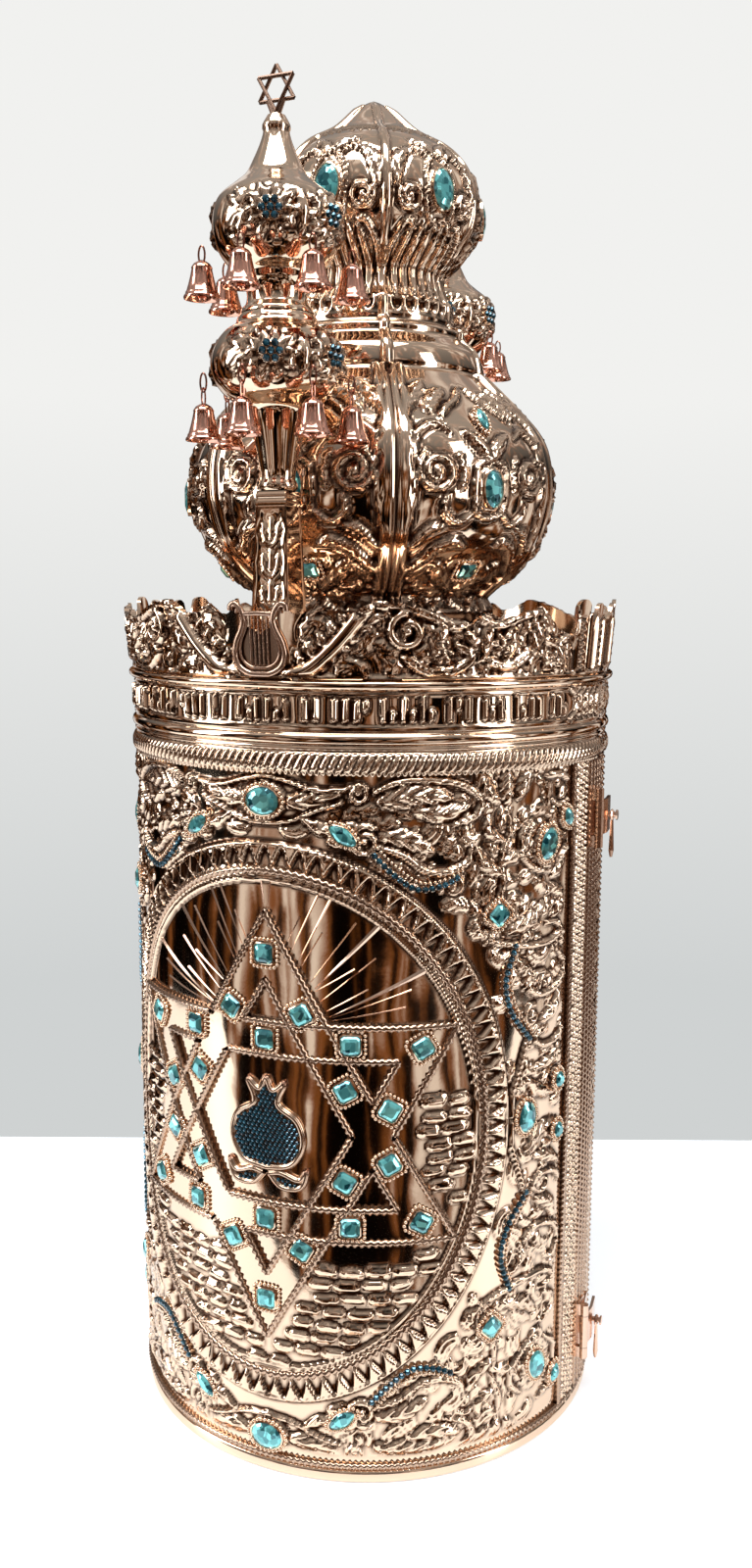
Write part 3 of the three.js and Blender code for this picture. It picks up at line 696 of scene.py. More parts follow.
class Build:
    """Collects the grids and faces of one piece."""

    def __init__(self) -> None:
        """Start with nothing."""
        self.points: list[np.ndarray] = []
        self.faces: list[np.ndarray] = []
        self.count = 0

    def put(self, points: np.ndarray, faces: np.ndarray) -> None:
        """Add points in metres and quads or triangles that name them.

        Args:
            points: One point a row.
            faces: One face a row; a triangle repeats its last corner.
        """
        self.points.append(points.reshape(-1, 3))
        self.faces.append(faces + self.count)
        self.count += self.points[-1].shape[0]

    def grid(self, points: np.ndarray, loop: bool = False) -> None:
        """Add a grid of rows and columns.

        Args:
            points: Points in metres, rows by columns.
            loop: Whether the last column joins the first.
        """
        rows, cols = points.shape[:2]
        index = np.arange(rows * cols).reshape(rows, cols)
        if loop:
            index = np.concatenate([index, index[:, :1]], axis=1)
        quads = [index[:-1, :-1], index[:-1, 1:], index[1:, 1:], index[1:, :-1]]
        self.put(points, np.stack(quads, -1).reshape(-1, 4))

    def tube(self, centres: np.ndarray, out: np.ndarray, radius: float, sides: int = 8,
             pitch: float = 0.0, loop: bool = False) -> None:
        """Add a round wire, or a rope of two twisted strands.

        Args:
            centres: Points of its middle line, in metres.
            out: Direction at each point that a strand's turn is counted from.
            radius: Radius in metres.
            sides: Sides of its section.
            pitch: Length in metres of half a twist, or 0 for a plain wire.
            loop: Whether it closes on itself.
        """
        tangent = np.gradient(centres, axis=0)
        tangent /= np.linalg.norm(tangent, axis=1)[:, None]
        across = np.cross(tangent, out)
        across /= np.linalg.norm(across, axis=1)[:, None]
        gaps = np.linalg.norm(np.diff(centres, axis=0), axis=1)
        at = np.concatenate([[0], np.cumsum(gaps)])
        angle = 2 * np.pi * np.arange(sides) / sides
        turn = np.pi * at / pitch if pitch else 0 * at
        twist = np.cos(2 * (angle[None] - turn[:, None])) * (0.40 if pitch else 0)
        r = radius * (1 + twist)
        ring = ((r * np.cos(angle))[..., None] * out[:, None]
                + (r * np.sin(angle))[..., None] * across[:, None])
        points = centres[:, None] + ring
        if loop:
            points = np.concatenate([points, points[:1]])
        self.grid(points[:, ::-1], True)

    def ball(self, place: "Seat", x: float, y: float, z: float, radius: float) -> None:
        """Add a bead on a seat.

        Args:
            place: The seat.
            x: Place to the right, in mm.
            y: Place up, in mm.
            z: Place out, in mm.
            radius: Radius in mm.
        """
        profile = [(radius * math.sqrt(max(1 - level * level, 1e-4)), z + radius * level)
                   for level in (-0.2, 0.45, 0.85, 1.0)]
        self.turned_on(place, profile, 6, x, y)

    def turned_on(self, place: "Seat", profile: Sequence[Sequence[float]], sides: int,
                  x: float = 0.0, y: float = 0.0) -> None:
        """Add a small turned form that stands out from a seat.

        Args:
            place: The seat.
            profile: Radius and height out of each point, in mm.
            sides: Sides round it.
            x: Place to the right, in mm.
            y: Place up, in mm.
        """
        angle = 2 * np.pi * np.arange(sides) / sides
        rings = [np.stack([x + r * np.cos(angle), y + r * np.sin(angle), h + 0 * angle], 1)
                 for r, h in profile]
        self.grid(place.place(np.stack(rings)), True)

    def turned(self, profile: Sequence[Sequence[float]], middle: Sequence[float],
               sides: int = 16) -> None:
        """Add a small turned form.

        Args:
            profile: Radius and height of each point, in mm.
            middle: Where its axis stands, in mm.
            sides: Sides round it.
        """
        angle = 2 * np.pi * np.arange(sides) / sides
        shape = np.asarray(profile, float)
        ring = np.stack([shape[:, :1] * np.cos(angle), shape[:, :1] * np.sin(angle),
                         shape[:, 1:] + 0 * angle], -1)
        self.grid((ring + np.asarray(middle)) * MM, True)

    def made(self, name: str, finish: bpy.types.Material,
             sharp: float = 0.0) -> bpy.types.Object:
        """Make the piece.

        Args:
            name: Name of the piece.
            finish: Its material.
            sharp: Angle in degrees over which an edge is sharp, or 0 for smooth all over.

        Returns:
            The object.
        """
        points = np.concatenate(self.points)
        faces = np.concatenate([f if f.shape[1] == 4 else np.c_[f, f[:, -1]] for f in self.faces])
        small = faces[:, 2] == faces[:, 3]
        sizes = np.where(small, 3, 4)
        keep = np.ones(faces.shape, bool)
        keep[small, 3] = False
        mesh = bpy.data.meshes.new(name)
        mesh.vertices.add(len(points))
        mesh.vertices.foreach_set("co", points.astype(np.float32).ravel())
        mesh.loops.add(int(sizes.sum()))
        mesh.loops.foreach_set("vertex_index", faces[keep].astype(np.int32))
        mesh.polygons.add(len(faces))
        starts = np.concatenate([[0], np.cumsum(sizes)[:-1]])
        mesh.polygons.foreach_set("loop_start", starts.astype(np.int32))
        mesh.polygons.foreach_set("use_smooth", np.ones(len(faces), bool))
        mesh.update(calc_edges=True)
        mesh.validate()
        if sharp:
            mesh.set_sharp_from_angle(angle=math.radians(sharp))
        mesh.materials.append(finish)
        piece = bpy.data.objects.new(name, mesh)
        bpy.context.scene.collection.objects.link(piece)
        return piece


def report(piece: bpy.types.Object, body: str, *nodes: str,
           slot: str = "rose_gold") -> bpy.types.Object:
    """Give a piece its body and the nodes that it stands for, and log it.

    Args:
        piece: The piece.
        body: Body that it rides with.
        *nodes: Nodes that it replaces.
        slot: Not used.

    Returns:
        The piece.
    """
    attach(piece, body)
    if nodes:
        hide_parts(*nodes)
    LOG.info("%s: %d faces on %s", piece.name, len(piece.data.polygons), body)
    return piece


@dataclass
class Shop:
    """The finishes that the pieces share."""

    plate: bpy.types.Material = field(default_factory=PLATE.make)
    spun: bpy.types.Material = field(default_factory=SPUN.make)
    cast: bpy.types.Material = field(default_factory=CAST.make)
    wire: bpy.types.Material = field(default_factory=WIRE.make)
    copper: bpy.types.Material = field(default_factory=COPPER.make)
    teal: bpy.types.Material = field(default_factory=TEAL.make)
    pave: bpy.types.Material = field(default_factory=PAVE.make)

    def dress_nodes(self) -> None:
        """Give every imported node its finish."""
        for name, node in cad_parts.items():
            finish = self.plate
            if name.startswith("bell"):
                finish = self.copper
            elif name.startswith(("clasp", "hinge")):
                finish = self.cast
            elif name.startswith("finial"):
                finish = self.spun
            node.data.materials.clear()
            node.data.materials.append(finish)


# Small parts


@dataclass(frozen=True)
class Seat:
    """Where a small part stands: its middle in mm and its own right, up and out directions."""

    middle: np.ndarray
    right: np.ndarray
    up: np.ndarray
    out: np.ndarray

    def place(self, points: np.ndarray) -> np.ndarray:
        """Carry points from the seat's own directions to the case's.

        Args:
            points: Places to the right, up and out, in mm.

        Returns:
            Points in metres.
        """
        p = np.asarray(points, float)
        flat = self.middle + p[..., :1] * self.right + p[..., 1:2] * self.up
        return (flat + p[..., 2:] * self.out) * MM


def seat(azimuth: float, z: float, radius: float, turn: float = 0.0, lean: float = 0.0) -> Seat:
    """Make a seat on a round wall.

    Args:
        azimuth: Azimuth in degrees.
        z: Height in mm.
        radius: Distance from the case's axis in mm.
        turn: Degrees that the part is turned by, anticlockwise as seen from outside.
        lean: Degrees that the wall faces upwards there.

    Returns:
        The seat.
    """
    a, t, k = math.radians(azimuth), math.radians(turn), math.radians(lean)
    side = np.array([math.cos(a), math.sin(a), 0.0])
    flat = np.array([math.sin(a), -math.cos(a), 0.0])
    out = flat * math.cos(k) + np.array([0, 0, math.sin(k)])
    rise = np.cross(out, side)
    right = side * math.cos(t) + rise * math.sin(t)
    middle = np.array([radius * flat[0], radius * flat[1], z])
    return Seat(middle, right, np.cross(out, right), out)


class Cut(Enum):
    """Outlines that the stones are cut to."""

    SQUARE = "square"
    OVAL = "oval"
    MARQUISE = "marquise"

    def outline(self, w: float, l: float) -> np.ndarray:
        """Points of the girdle.

        Args:
            w: Width in mm.
            l: Length in mm.

        Returns:
            Points, anticlockwise.
        """
        if self is Cut.SQUARE:
            c = 0.72
            corners = np.array([[1, -c], [1, c], [c, 1], [-c, 1],
                                [-1, c], [-1, -c], [-c, -1], [c, -1]])
            return corners * [w / 2, l / 2]
        angle = 2 * np.pi * np.arange(16) / 16
        x, y = np.cos(angle), np.sin(angle)
        if self is Cut.MARQUISE:
            x = x * np.abs(x) ** 0.35
        return np.stack([x * w / 2, y * l / 2], 1)


@dataclass(frozen=True)
class Stone:
    """One set stone."""

    place: Seat
    cut: Cut
    w: float
    l: float
    rise: float = 2.6


def add_stone(gems: Build, metal: Build, stone: Stone, beads: bool = True) -> None:
    """Cut a stone and set it in its frame of beads or in a smooth collar.

    Args:
        gems: Build that takes the glass.
        metal: Build that takes the setting.
        stone: The stone.
        beads: Whether its frame is beaded.
    """
    girdle = stone.cut.outline(stone.w, stone.l)
    levels = [(1.0, -1.2), (1.0, 0.25), (0.8, 0.7), (0.52, 1.0)]
    rings = [np.c_[girdle * share, np.full(len(girdle), h * stone.rise)] for share, h in levels]
    gems.grid(stone.place.place(np.stack(rings)), True)
    table = np.vstack([rings[-1], [[0, 0, stone.rise]]])
    count = len(girdle)
    fan = np.array([[i, (i + 1) % count, count, count] for i in range(count)])
    gems.put(stone.place.place(table), fan)
    collar = [(1.10, -1.2), (1.10, 0.3), (1.02, 0.42), (0.97, 0.2)]
    metal.grid(stone.place.place(np.stack(
        [np.c_[girdle * share, np.full(count, h * stone.rise)] for share, h in collar])), True)
    if beads:
        line = np.vstack([girdle, girdle[:1]]) * (1 + 4.6 / max(stone.w, stone.l))
        for bead in even(line, 2.5)[:-1]:
            metal.ball(stone.place, bead[0], bead[1], 0.0, 1.15)


@dataclass
class Rope:
    """A twisted wire along a line on a wall."""

    path: Path
    radius: float
    lift: float
    pitch: float = 3.4
    fine: float = 4.0

    def lay(self, build: Build, wall_r: float, shift: float = 0.0) -> None:
        """Lay the rope on a straight wall.

        Args:
            build: Build that takes it.
            wall_r: Radius of the wall in mm.
            shift: Degrees of azimuth added.
        """
        line = even(self.path, self.pitch / self.fine)
        a = line[:, 0] / wall_r + math.radians(shift)
        centres = on_wall(a, wall_r + self.lift, line[:, 1])
        build.tube(centres, outward(a), self.radius * MM, 6, self.pitch * MM)


# The case


# Tables of relief. A row has the places that its line passes, its width and height in mm, its
# strands or lobes, and for a rib the shares of its width that are left at its two ends.
BORDER_HEAD = (
    (((24, 186), (29, 191), (36, 192), (43, 189), (47.5, 181), (46, 172), (41, 168)),
     4.2, 2.8, 2, 0.6, 0.4),
    (((26, 181), (33, 184), (41, 182)), 15, 2.7, 7),
    (((33, 176), (38, 174), (45, 178)), 10, 2.4, 5),
)
BORDER = (
    (((25, 157), (30, 153), (35, 144.5), (40, 143), (44.5, 148), (45.5, 156)),
     4.4, 2.7, 3, 0.5, 0.4),
    (((26, 163), (31, 161), (37, 154)), 11, 2.5, 6),
    (((47, 196), (48.5, 187), (52.5, 178)), 10, 2.4, 6),
    (((54, 196), (54, 187), (54.5, 176)), 11, 2.6, 7),
    (((61, 196), (59, 188), (57, 179)), 10, 2.4, 6),
    (((52, 121), (53.5, 135), (53, 150), (55, 164), (54, 176)), 3.6, 2.4, 2, 0.7, 0.4),
    (((52.5, 140), (48.5, 146), (46.5, 155)), 8, 2.2, 5),
    (((53.5, 146), (58, 150), (61.5, 160)), 8, 2.2, 5),
    (((53, 158), (49.5, 163), (49.5, 171)), 7, 2.2, 4),
    (((66, 190), (71, 190), (75, 185), (75, 177), (71, 173), (68, 177)), 3.4, 2.5, 2, 0.5, 0.4),
    (((62, 168), (58.5, 160), (58.5, 150), (62, 141), (67, 137)), 3.8, 2.6, 2, 0.4, 0.4),
    (((70, 168), (73.5, 160), (73.5, 148), (70, 140)), 3.8, 2.6, 2, 0.4, 0.4),
    (((50, 104), (54, 101), (60, 98), (67, 97), (71.5, 101), (71, 107), (67, 108)),
     4.0, 2.7, 2, 0.6, 0.4),
    (((56, 108), (62, 112), (66, 121)), 10, 2.5, 6),
    (((70, 112), (72, 121), (68, 130)), 9, 2.4, 6),
    (((49, 106), (46, 111), (47, 118)), 7, 2.3, 4),
    (((71, 92), (74, 82), (72, 72), (66, 68), (62, 73), (63, 80), (67, 81)),
     4.2, 2.6, 2, 0.4, 0.4),
    (((58, 90), (61, 82), (60, 73)), 9, 2.5, 6),
    (((72, 66), (70, 57), (65, 52)), 9, 2.5, 6),
    (((61.6, 47), (59.5, 31), (57.2, 15), (57, 2)), 3.4, 2.6, 2, 0.5, 1.0),
    (((74.5, 48), (72, 40), (67, 38), (64, 43), (66, 48)), 3.8, 2.5, 2, 0.4, 0.4),
    (((73, 34), (69, 28), (64, 26)), 8, 2.4, 5),
    (((62, 20), (66, 12), (72, 8)), 9, 2.4, 5),
)
CARTOUCHE_WINGS = (
    (((4, 180), (10, 181), (17, 186)), 11, 2.6, 5),
    (((0, 193.5), (5, 191), (11, 187), (16, 187), (20, 189)), 2.6, 2.4, 1, 1.0, 0.6),
    (((0, 168), (6, 170), (12, 176), (17, 180)), 2.6, 2.4, 1, 1.0, 0.6),
)
CARTOUCHE_LEAF = ((((9, 171), (13, 166), (19, 163)), 7, 2.3, 4),)

# Rays: place across and up from the middle of each end, and the width at the outer end
RAYS = (
    (27.7, 80.5, 64.5, 118.5, 3.6), (28.0, 79.0, 49.0, 92.0, 1.4), (25.5, 84.0, 49.5, 117.0, 1.2),
    (35.5, 65.5, 88.0, 91.5, 3.8), (34.0, 68.5, 56.0, 81.0, 1.4), (37.0, 63.6, 76.0, 71.0, 1.4),
    (36.5, 65.0, 79.0, 80.5, 1.2), (15.0, 101.0, 31.0, 134.5, 1.8), (19.0, 95.5, 36.5, 130.0, 1.8),
    (20.5, 92.5, 31.5, 111.0, 1.2), (12.5, 105.0, 19.5, 119.0, 1.2), (1.0, 124.5, 3.0, 138.5, 1.4),
    (30.5, 73.5, 60.0, 98.0, 1.2),
)

# The border's inner edge: heights over the middle and azimuths there
EDGE_OVER = (0, 30, 46, 62, 80, 100, 104, 113, 136, 142, 150, 160, 168, 176)
EDGE_AZIMUTH = (58, 60.5, 61.5, 56, 54.5, 56, 49, 47, 41, 33, 25, 21, 14, 0)


@dataclass
class Case:
    """One half of the case: embossed wall, lining, floor, top plate and foot."""

    side: Side
    shop: Shop
    radius: float = 140.0
    foot_z: float = 7.0
    head_z: float = 396.7
    wall: float = 5.0
    plate: float = 6.0
    height: float = 441.0
    ring_w: float = 136.6
    ring_h: float = 158.0
    ring_teeth: int = 92
    ring_wire_inset: float = 15.2
    middle_z: float = 202.0
    star_r: float = 122.0
    star_band: float = 20.0
    star_rise: float = 1.5
    strip_u: float = 181.0
    relief_gain: float = 1.22
    front_step: float = 1.12
    back_step: float = 2.6

    @property
    def front(self) -> bool:
        """Whether this is the half that shows the star."""
        return self.side is Side.FRONT

    def place(self, sign: int, azimuth: float, over: float) -> tuple[float, float]:
        """Place on the flat pattern over (sign 1) or under (sign -1) the middle."""
        return math.radians(azimuth) * self.radius, self.middle_z + sign * over

    def border_edge(self, v: np.ndarray) -> np.ndarray:
        """Azimuth at which the embossed border starts, at each height."""
        return np.interp(np.abs(v - self.middle_z), EDGE_OVER, EDGE_AZIMUTH)

    def ellipse_in(self, relief: Relief) -> np.ndarray:
        """Measure how far each cell lies inside the ring's outer edge.

        Args:
            relief: The sheet.

        Returns:
            Distances inwards in mm.
        """
        u, w = relief.u, relief.v - self.middle_z
        f = np.hypot(u / self.ring_w, w / self.ring_h) + 1e-9
        slope = np.hypot(u / self.ring_w**2, w / self.ring_h**2) / f + 1e-9
        return (1 - f) / slope

    def ring_turn(self, relief: Relief) -> np.ndarray:
        """Find each cell's share of the way round the ring, evenly by length.

        Args:
            relief: The sheet.

        Returns:
            Shares from 0 to 1.
        """
        angle = np.arctan2((relief.v - self.middle_z) / self.ring_h, relief.u / self.ring_w)
        table = np.linspace(-np.pi, np.pi, 721)
        speed = np.hypot(self.ring_w * np.sin(table), self.ring_h * np.cos(table))
        length = np.concatenate([[0], np.cumsum((speed[1:] + speed[:-1]) / 2)])
        return np.interp(angle, table, length / length[-1])

    def filler(self, relief: Relief, seed: int, pitch: float) -> None:
        """Fill the border's ground with small curls, buds and leaves.

        Args:
            relief: The sheet.
            seed: Seed of the chasing's small differences.
            pitch: Distance between curls in mm.
        """
        chance = np.random.default_rng(seed)
        for v in np.arange(26, self.head_z - 3, pitch):
            edge = math.radians(float(self.border_edge(np.array(v)))) * self.radius
            for u in np.arange(edge + 2, self.strip_u - 2, pitch):
                place = (u + chance.uniform(-2.5, 2.5), v + chance.uniform(-2.5, 2.5))
                if abs(v - self.middle_z) > 178 and u < math.radians(45) * self.radius:
                    continue
                hand = int(chance.choice([-1, 1]))
                start = chance.uniform(0, 360)
                kind = chance.random()
                if kind < 0.6:
                    turns = [14 * hand, 10 * hand, 5 * hand]
                    line = bend(place, start, chance.uniform(15, 22), turns, 12)
                    relief.rib(line, chance.uniform(8, 11), 1.5, 3, (0.15, 0.75), 0.45)
                elif kind < 0.7:
                    radius = chance.uniform(5.5, 7.5)
                    relief.volute(place, radius, start, hand, 3.2, 1.5, 1, 1.1)
                else:
                    turns = [9 * hand, 3 * hand, -7 * hand]
                    line = bend(place, start, chance.uniform(14, 20), turns, 10)
                    relief.leaf(line, 9.0, 1.2, 4)

    def border(self, relief: Relief) -> None:
        """Emboss the border, the same above and below the middle.

        Args:
            relief: The sheet.
        """
        inside = np.degrees(relief.u / self.radius) - self.border_edge(relief.v)
        plain = np.abs(relief.v - self.middle_z) > 181
        plain &= relief.u < math.radians(45) * self.radius
        ground = (inside > 0) & ~plain & (relief.v > 24) & (relief.u < self.strip_u)
        relief.h[ground] -= 0.9
        self.filler(relief, 7, 13.0)
        for sign in (1, -1):
            place = partial(self.place, sign)
            relief.forms(BORDER_HEAD, place)
            relief.volute(place(22, 160), 8.5, 60 * sign, sign, 3.4, 2.7, 2)
            relief.forms(BORDER, place)
            relief.boss(place(46.9, 112), 2.6, 2.6, 3.0)
            relief.rosette(place(50, 106), 4.6, 6, 2.4)
            relief.boss(place(75, 185), 2.4, 2.4, 2.8)
            self.cartouche(relief, sign)
        if self.front:
            for sign in (1, -1):
                for azimuth, over, rx, ry, height, turn in (
                        (66, 153, 8.8, 11.2, 2.4, -20 * sign), (73, 166, 5, 7, 2.4, 30 * sign),
                        (52, 118, 8.2, 8.2, 2.4, 45), (72, 15, 5.4, 6.6, 2.2, 0)):
                    relief.boss(self.place(sign, azimuth, over), rx, ry, height, turn, 0.2)
            relief.boss(self.place(1, 61, 0), 8.2, 10.8, 2.4, 0, 0.2)

    def cartouche(self, relief: Relief, sign: int) -> None:
        """Emboss the winged frame round the oval stone at the middle of the border.

        Args:
            relief: The sheet.
            sign: 1 for the frame at the head, -1 for the one at the foot.
        """
        place = partial(self.place, sign)
        near = np.abs(relief.v - self.middle_z - sign * 180) < 14
        relief.h[near & (relief.u < 44)] *= 0.4
        relief.forms(CARTOUCHE_WINGS, place)
        relief.volute(place(20.5, 185), 5.2, 90, -sign, 2.4, 2.3, 1)
        relief.forms(CARTOUCHE_LEAF, place)
        relief.boss(place(17.5, 163.5), 5.5, 9.5, 2.2, -55 * sign, 0.2)
        relief.boss(place(0, 180), 12.5, 10.5, 2.6, 0, 0.2)

    def ring(self, relief: Relief) -> None:
        """Emboss the oval ring: a rounded lip, a row of teeth and two inner fillets.

        Args:
            relief: The sheet.
        """
        inward = self.ellipse_in(relief)
        phase = np.abs((self.ring_turn(relief) * self.ring_teeth) % 1 - 0.5)
        rho = np.clip((12.8 - inward) / 10.6, 0, 1)
        tooth = np.clip((0.46 * rho + 0.02 - phase) / 0.11, 0, 1)
        dent = np.clip((phase - 0.46 * rho - 0.02) / 0.45, 0, 1)
        teeth = 0.5 + 2.3 * tooth - 1.5 * dent
        lip = 3.0 * dome((inward - 1.0) / 1.35)
        fillets = 1.8 * dome((inward - 17.6) / 1.3) + 1.8 * dome((inward - 20.2) / 1.2)
        band = (inward > -0.4) & (inward < 21.5)
        shape = np.where((inward > 2.2) & (inward < 13.0), teeth, 0.4)
        relief.h = np.where(band, np.maximum(np.maximum(shape, lip), fillets), relief.h)

    def triangles(self, u: np.ndarray, w: np.ndarray) -> tuple[np.ndarray, np.ndarray]:
        """Measure how far out each place lies in the upright and the reversed triangle.

        Args:
            u: Places across.
            w: Places up from the middle.

        Returns:
            The distances in the two triangles.
        """
        side = 0.5 * math.sqrt(3)
        upright = np.maximum(-w, np.maximum(side * u + 0.5 * w, -side * u + 0.5 * w))
        turned = np.maximum(w, np.maximum(side * u - 0.5 * w, -side * u - 0.5 * w))
        return upright, turned

    def star(self, relief: Relief) -> None:
        """Emboss the flat bands of the two interlaced triangles.

        Args:
            relief: The sheet.
        """
        outer = self.star_r / 2
        low = outer - self.star_band
        for reach in self.triangles(relief.u, relief.v - self.middle_z):
            depth = np.minimum(outer - reach, reach - low)
            rise = self.star_rise * np.clip(depth / 1.0, 0, 1)
            relief.h = np.maximum(relief.h, np.where(depth > 0, rise, 0))

    def rays(self, build: Build) -> None:
        """Chase the rays that fan from the star's upper edges, as ridges that widen outwards.

        Args:
            build: Build that takes them.
        """
        for u0, w0, u1, w1, width in RAYS:
            for hand in (-1, 1):
                line = even(np.array([[u0 * hand, w0], [u1 * hand, w1]]), 4.0)
                way = np.array([w1 - w0, -(u1 - u0) * hand]) / math.hypot(u1 - u0, w1 - w0)
                share = np.linspace(0, 1, len(line))[:, None]
                half = (0.25 + (width / 2 - 0.25) * share) * way
                strips = []
                for side, lift in ((-1, -0.15), (0, 0.95), (1, -0.15)):
                    flat = line + side * half
                    r = self.radius + lift * (0.35 + 0.65 * share[:, 0])
                    strips.append(on_wall(flat[:, 0] / self.radius, r, flat[:, 1] + self.middle_z))
                build.grid(np.stack(strips if hand * way[0] > 0 else strips[::-1], 1))

    def masonry(self, relief: Relief) -> None:
        """Emboss the courses of stones beside the lower tips of the star.

        Args:
            relief: The sheet.
        """
        chance = np.random.default_rng(3)
        inward = self.ellipse_in(relief)
        upright, turned = self.triangles(relief.u, relief.v - self.middle_z)
        out = (np.minimum(upright, turned) > self.star_r / 2 + 4) & (inward > 23.5)
        for v in np.arange(52, 226, 8.0):
            for u in np.arange(2 + chance.uniform(0, 8), 118, 14.5):
                wide = chance.uniform(5.4, 7.6)
                row = int(np.searchsorted(relief.rows, v))
                col = int(np.argmin(np.abs(relief.u[row] - u)))
                if not out[row, col] or (v > 130 and u < 86):
                    continue
                level = v + chance.uniform(-1.0, 1.0)
                course = np.array([[u - wide + 2, level], [u, level + chance.uniform(-0.6, 0.6)],
                                   [u + wide - 2, level + chance.uniform(-0.8, 0.8)]])
                wide, high = chance.uniform(5.4, 7.6), chance.uniform(1.3, 2.6)
                relief.rib(course, wide, high, 1, (0.9, 0.7), 0.9)
                chip = course + [0.8, chance.uniform(-1.5, 1.8)]
                relief.rib(chip, 1.8, 0.9, 1, (0.5, 0.5), 0.3, 1.6)

    def seam_strip(self, relief: Relief) -> None:
        """Emboss the beaded strip beside the seam.

        Args:
            relief: The sheet.
        """
        u = relief.u
        relief.h = np.where(u > self.strip_u, 0.0, relief.h)
        relief.h = np.where(u > self.strip_u + 6, 1.5, relief.h)
        pitch = 3.6
        for k, middle in enumerate((192.2, 196.4, 200.6, 204.8)):
            du = (u - middle) / 1.9
            dv = (((relief.v + k % 2 * pitch / 2) / pitch) % 1 - 0.5) * pitch / 1.8
            bead = 1.5 * np.sqrt(np.clip(1 - du * du - dv * dv, 0, 1))
            relief.h = np.where(np.abs(u - middle) < 2.1, 0.2 + 1.5 * bead, relief.h)

    def back_rays(self, relief: Relief) -> None:
        """Engrave a plain sunburst inside the back ring.

        Args:
            relief: The sheet.
        """
        angle = np.arctan2(relief.v - self.middle_z, relief.u)
        reach = np.hypot(relief.u, relief.v - self.middle_z)
        wave = np.abs((angle / (2 * np.pi) * 48) % 1 - 0.5) * 2
        inward = self.ellipse_in(relief)
        fade = np.clip((reach - 26) / 20, 0, 1) * np.clip((inward - 23) / 14, 0, 1)
        relief.h = np.where(inward > 22, 0.9 * fade * wave, relief.h)
        for radius in (24.0, 30.0):
            circle = arc((0, self.middle_z), radius, radius, -90, 180, 30)
            relief.rib(circle, 2.6, 1.4, 1, (1, 1))
        relief.rosette((0, self.middle_z), 18, 8, 1.8)

    def sheet(self) -> tuple[Turned, np.ndarray, np.ndarray]:
        """Emboss the wall.

        Returns:
            The wall, its azimuths in degrees and its heights of relief.
        """
        step = self.front_step if self.front else self.back_step
        wall = Turned([[self.radius, self.foot_z], [self.radius, self.head_z]], step)
        u = columns(self.radius, step)
        relief = Relief(np.tile(u, (len(wall.z), 1)), wall.z)
        self.border(relief)
        relief.h = np.where(self.ellipse_in(relief) > -2, 0, self.relief_gain * relief.h)
        if self.front:
            self.masonry(relief)
            self.star(relief)
        else:
            self.back_rays(relief)
        self.ring(relief)
        self.seam_strip(relief)
        fade = np.clip((relief.v - 15) / 6, 0, 1)
        relief.h = np.where(relief.u < self.strip_u, relief.h * fade, relief.h)
        azimuth = np.degrees(both_ways(u) / self.radius)
        return wall, azimuth, np.maximum(relief.mirrored(), -1.0)

    def build(self) -> None:
        """Make the half and everything fixed to it."""
        wall, azimuth, lift = self.sheet()
        points = wall.points(azimuth + self.side.turn, lift)
        normals = sheet_normals(points)
        # Painted shade: darker and duller in the hollows and on the sunk ground of the border.
        shade_shares = np.maximum(painted_shade_shares(lift, deep=0.65), 0.75 * np.clip(-lift, 0, 1))
        name = f"case_shell_{self.side.value}"
        half = len(points) // 2
        spans = [(0, half + 1), (half, len(points))] if self.front else [(0, len(points))]
        for k, (r0, r1) in enumerate(spans):
            build = Build()
            build.grid(points[r0:r1])
            piece = build.made(f"embossed_wall_{self.side.value}_{k + 1}", self.shop.plate)
            bend_light(piece, normals[r0:r1])
            store_painted_shade(piece, shade_shares[r0:r1])
            report(piece, self.side.body, name)
        self.lining(points, name)
        self.ropes()

    def lining(self, points: np.ndarray, name: str) -> None:
        """Make the inside wall, the plates, the foot and the seam faces.

        Args:
            points: The embossed wall's points.
            name: Node that the lining belongs to.
        """
        inner, ceiling = self.radius - self.wall, self.height - self.plate
        azimuth = np.radians(np.linspace(-SEAM_AZIMUTH, SEAM_AZIMUTH, 73) + self.side.turn)
        inside = [[0, ceiling], [inner, ceiling], [inner, self.plate], [0, self.plate]]
        foot = [[0, 0], [self.radius + 1, 0], [self.radius + 2, 1], [self.radius + 2, 5.4],
                [self.radius + 1.2, 6.6], [self.radius, self.foot_z]]
        head = [[self.radius, self.head_z], [self.radius, self.height - 0.5],
                [self.radius - 0.5, self.height], [0, self.height]]
        build = Build()
        for profile in (inside, foot, head):
            shape = np.array(profile, float)
            build.grid(on_wall(azimuth, shape[:, :1], shape[:, 1:]))
        for column, sign in ((0, -1), (-1, 1)):
            edge = points[:, column]
            angle = math.radians(sign * SEAM_AZIMUTH + self.side.turn)
            pair = [edge, on_wall(angle, inner, edge[:, 2] / MM)]
            build.grid(np.stack(pair[::sign], 1))
            for z0, z1 in ((0, self.plate), (ceiling, self.height)):
                face = np.array([[[0, z0], [self.radius, z0]], [[0, z1], [self.radius, z1]]], float)
                build.grid(on_wall(angle, face[..., 0], face[..., 1]))
        lining = build.made(f"lining_{self.side.value}", self.shop.spun, 40)
        report(lining, self.side.body, name)

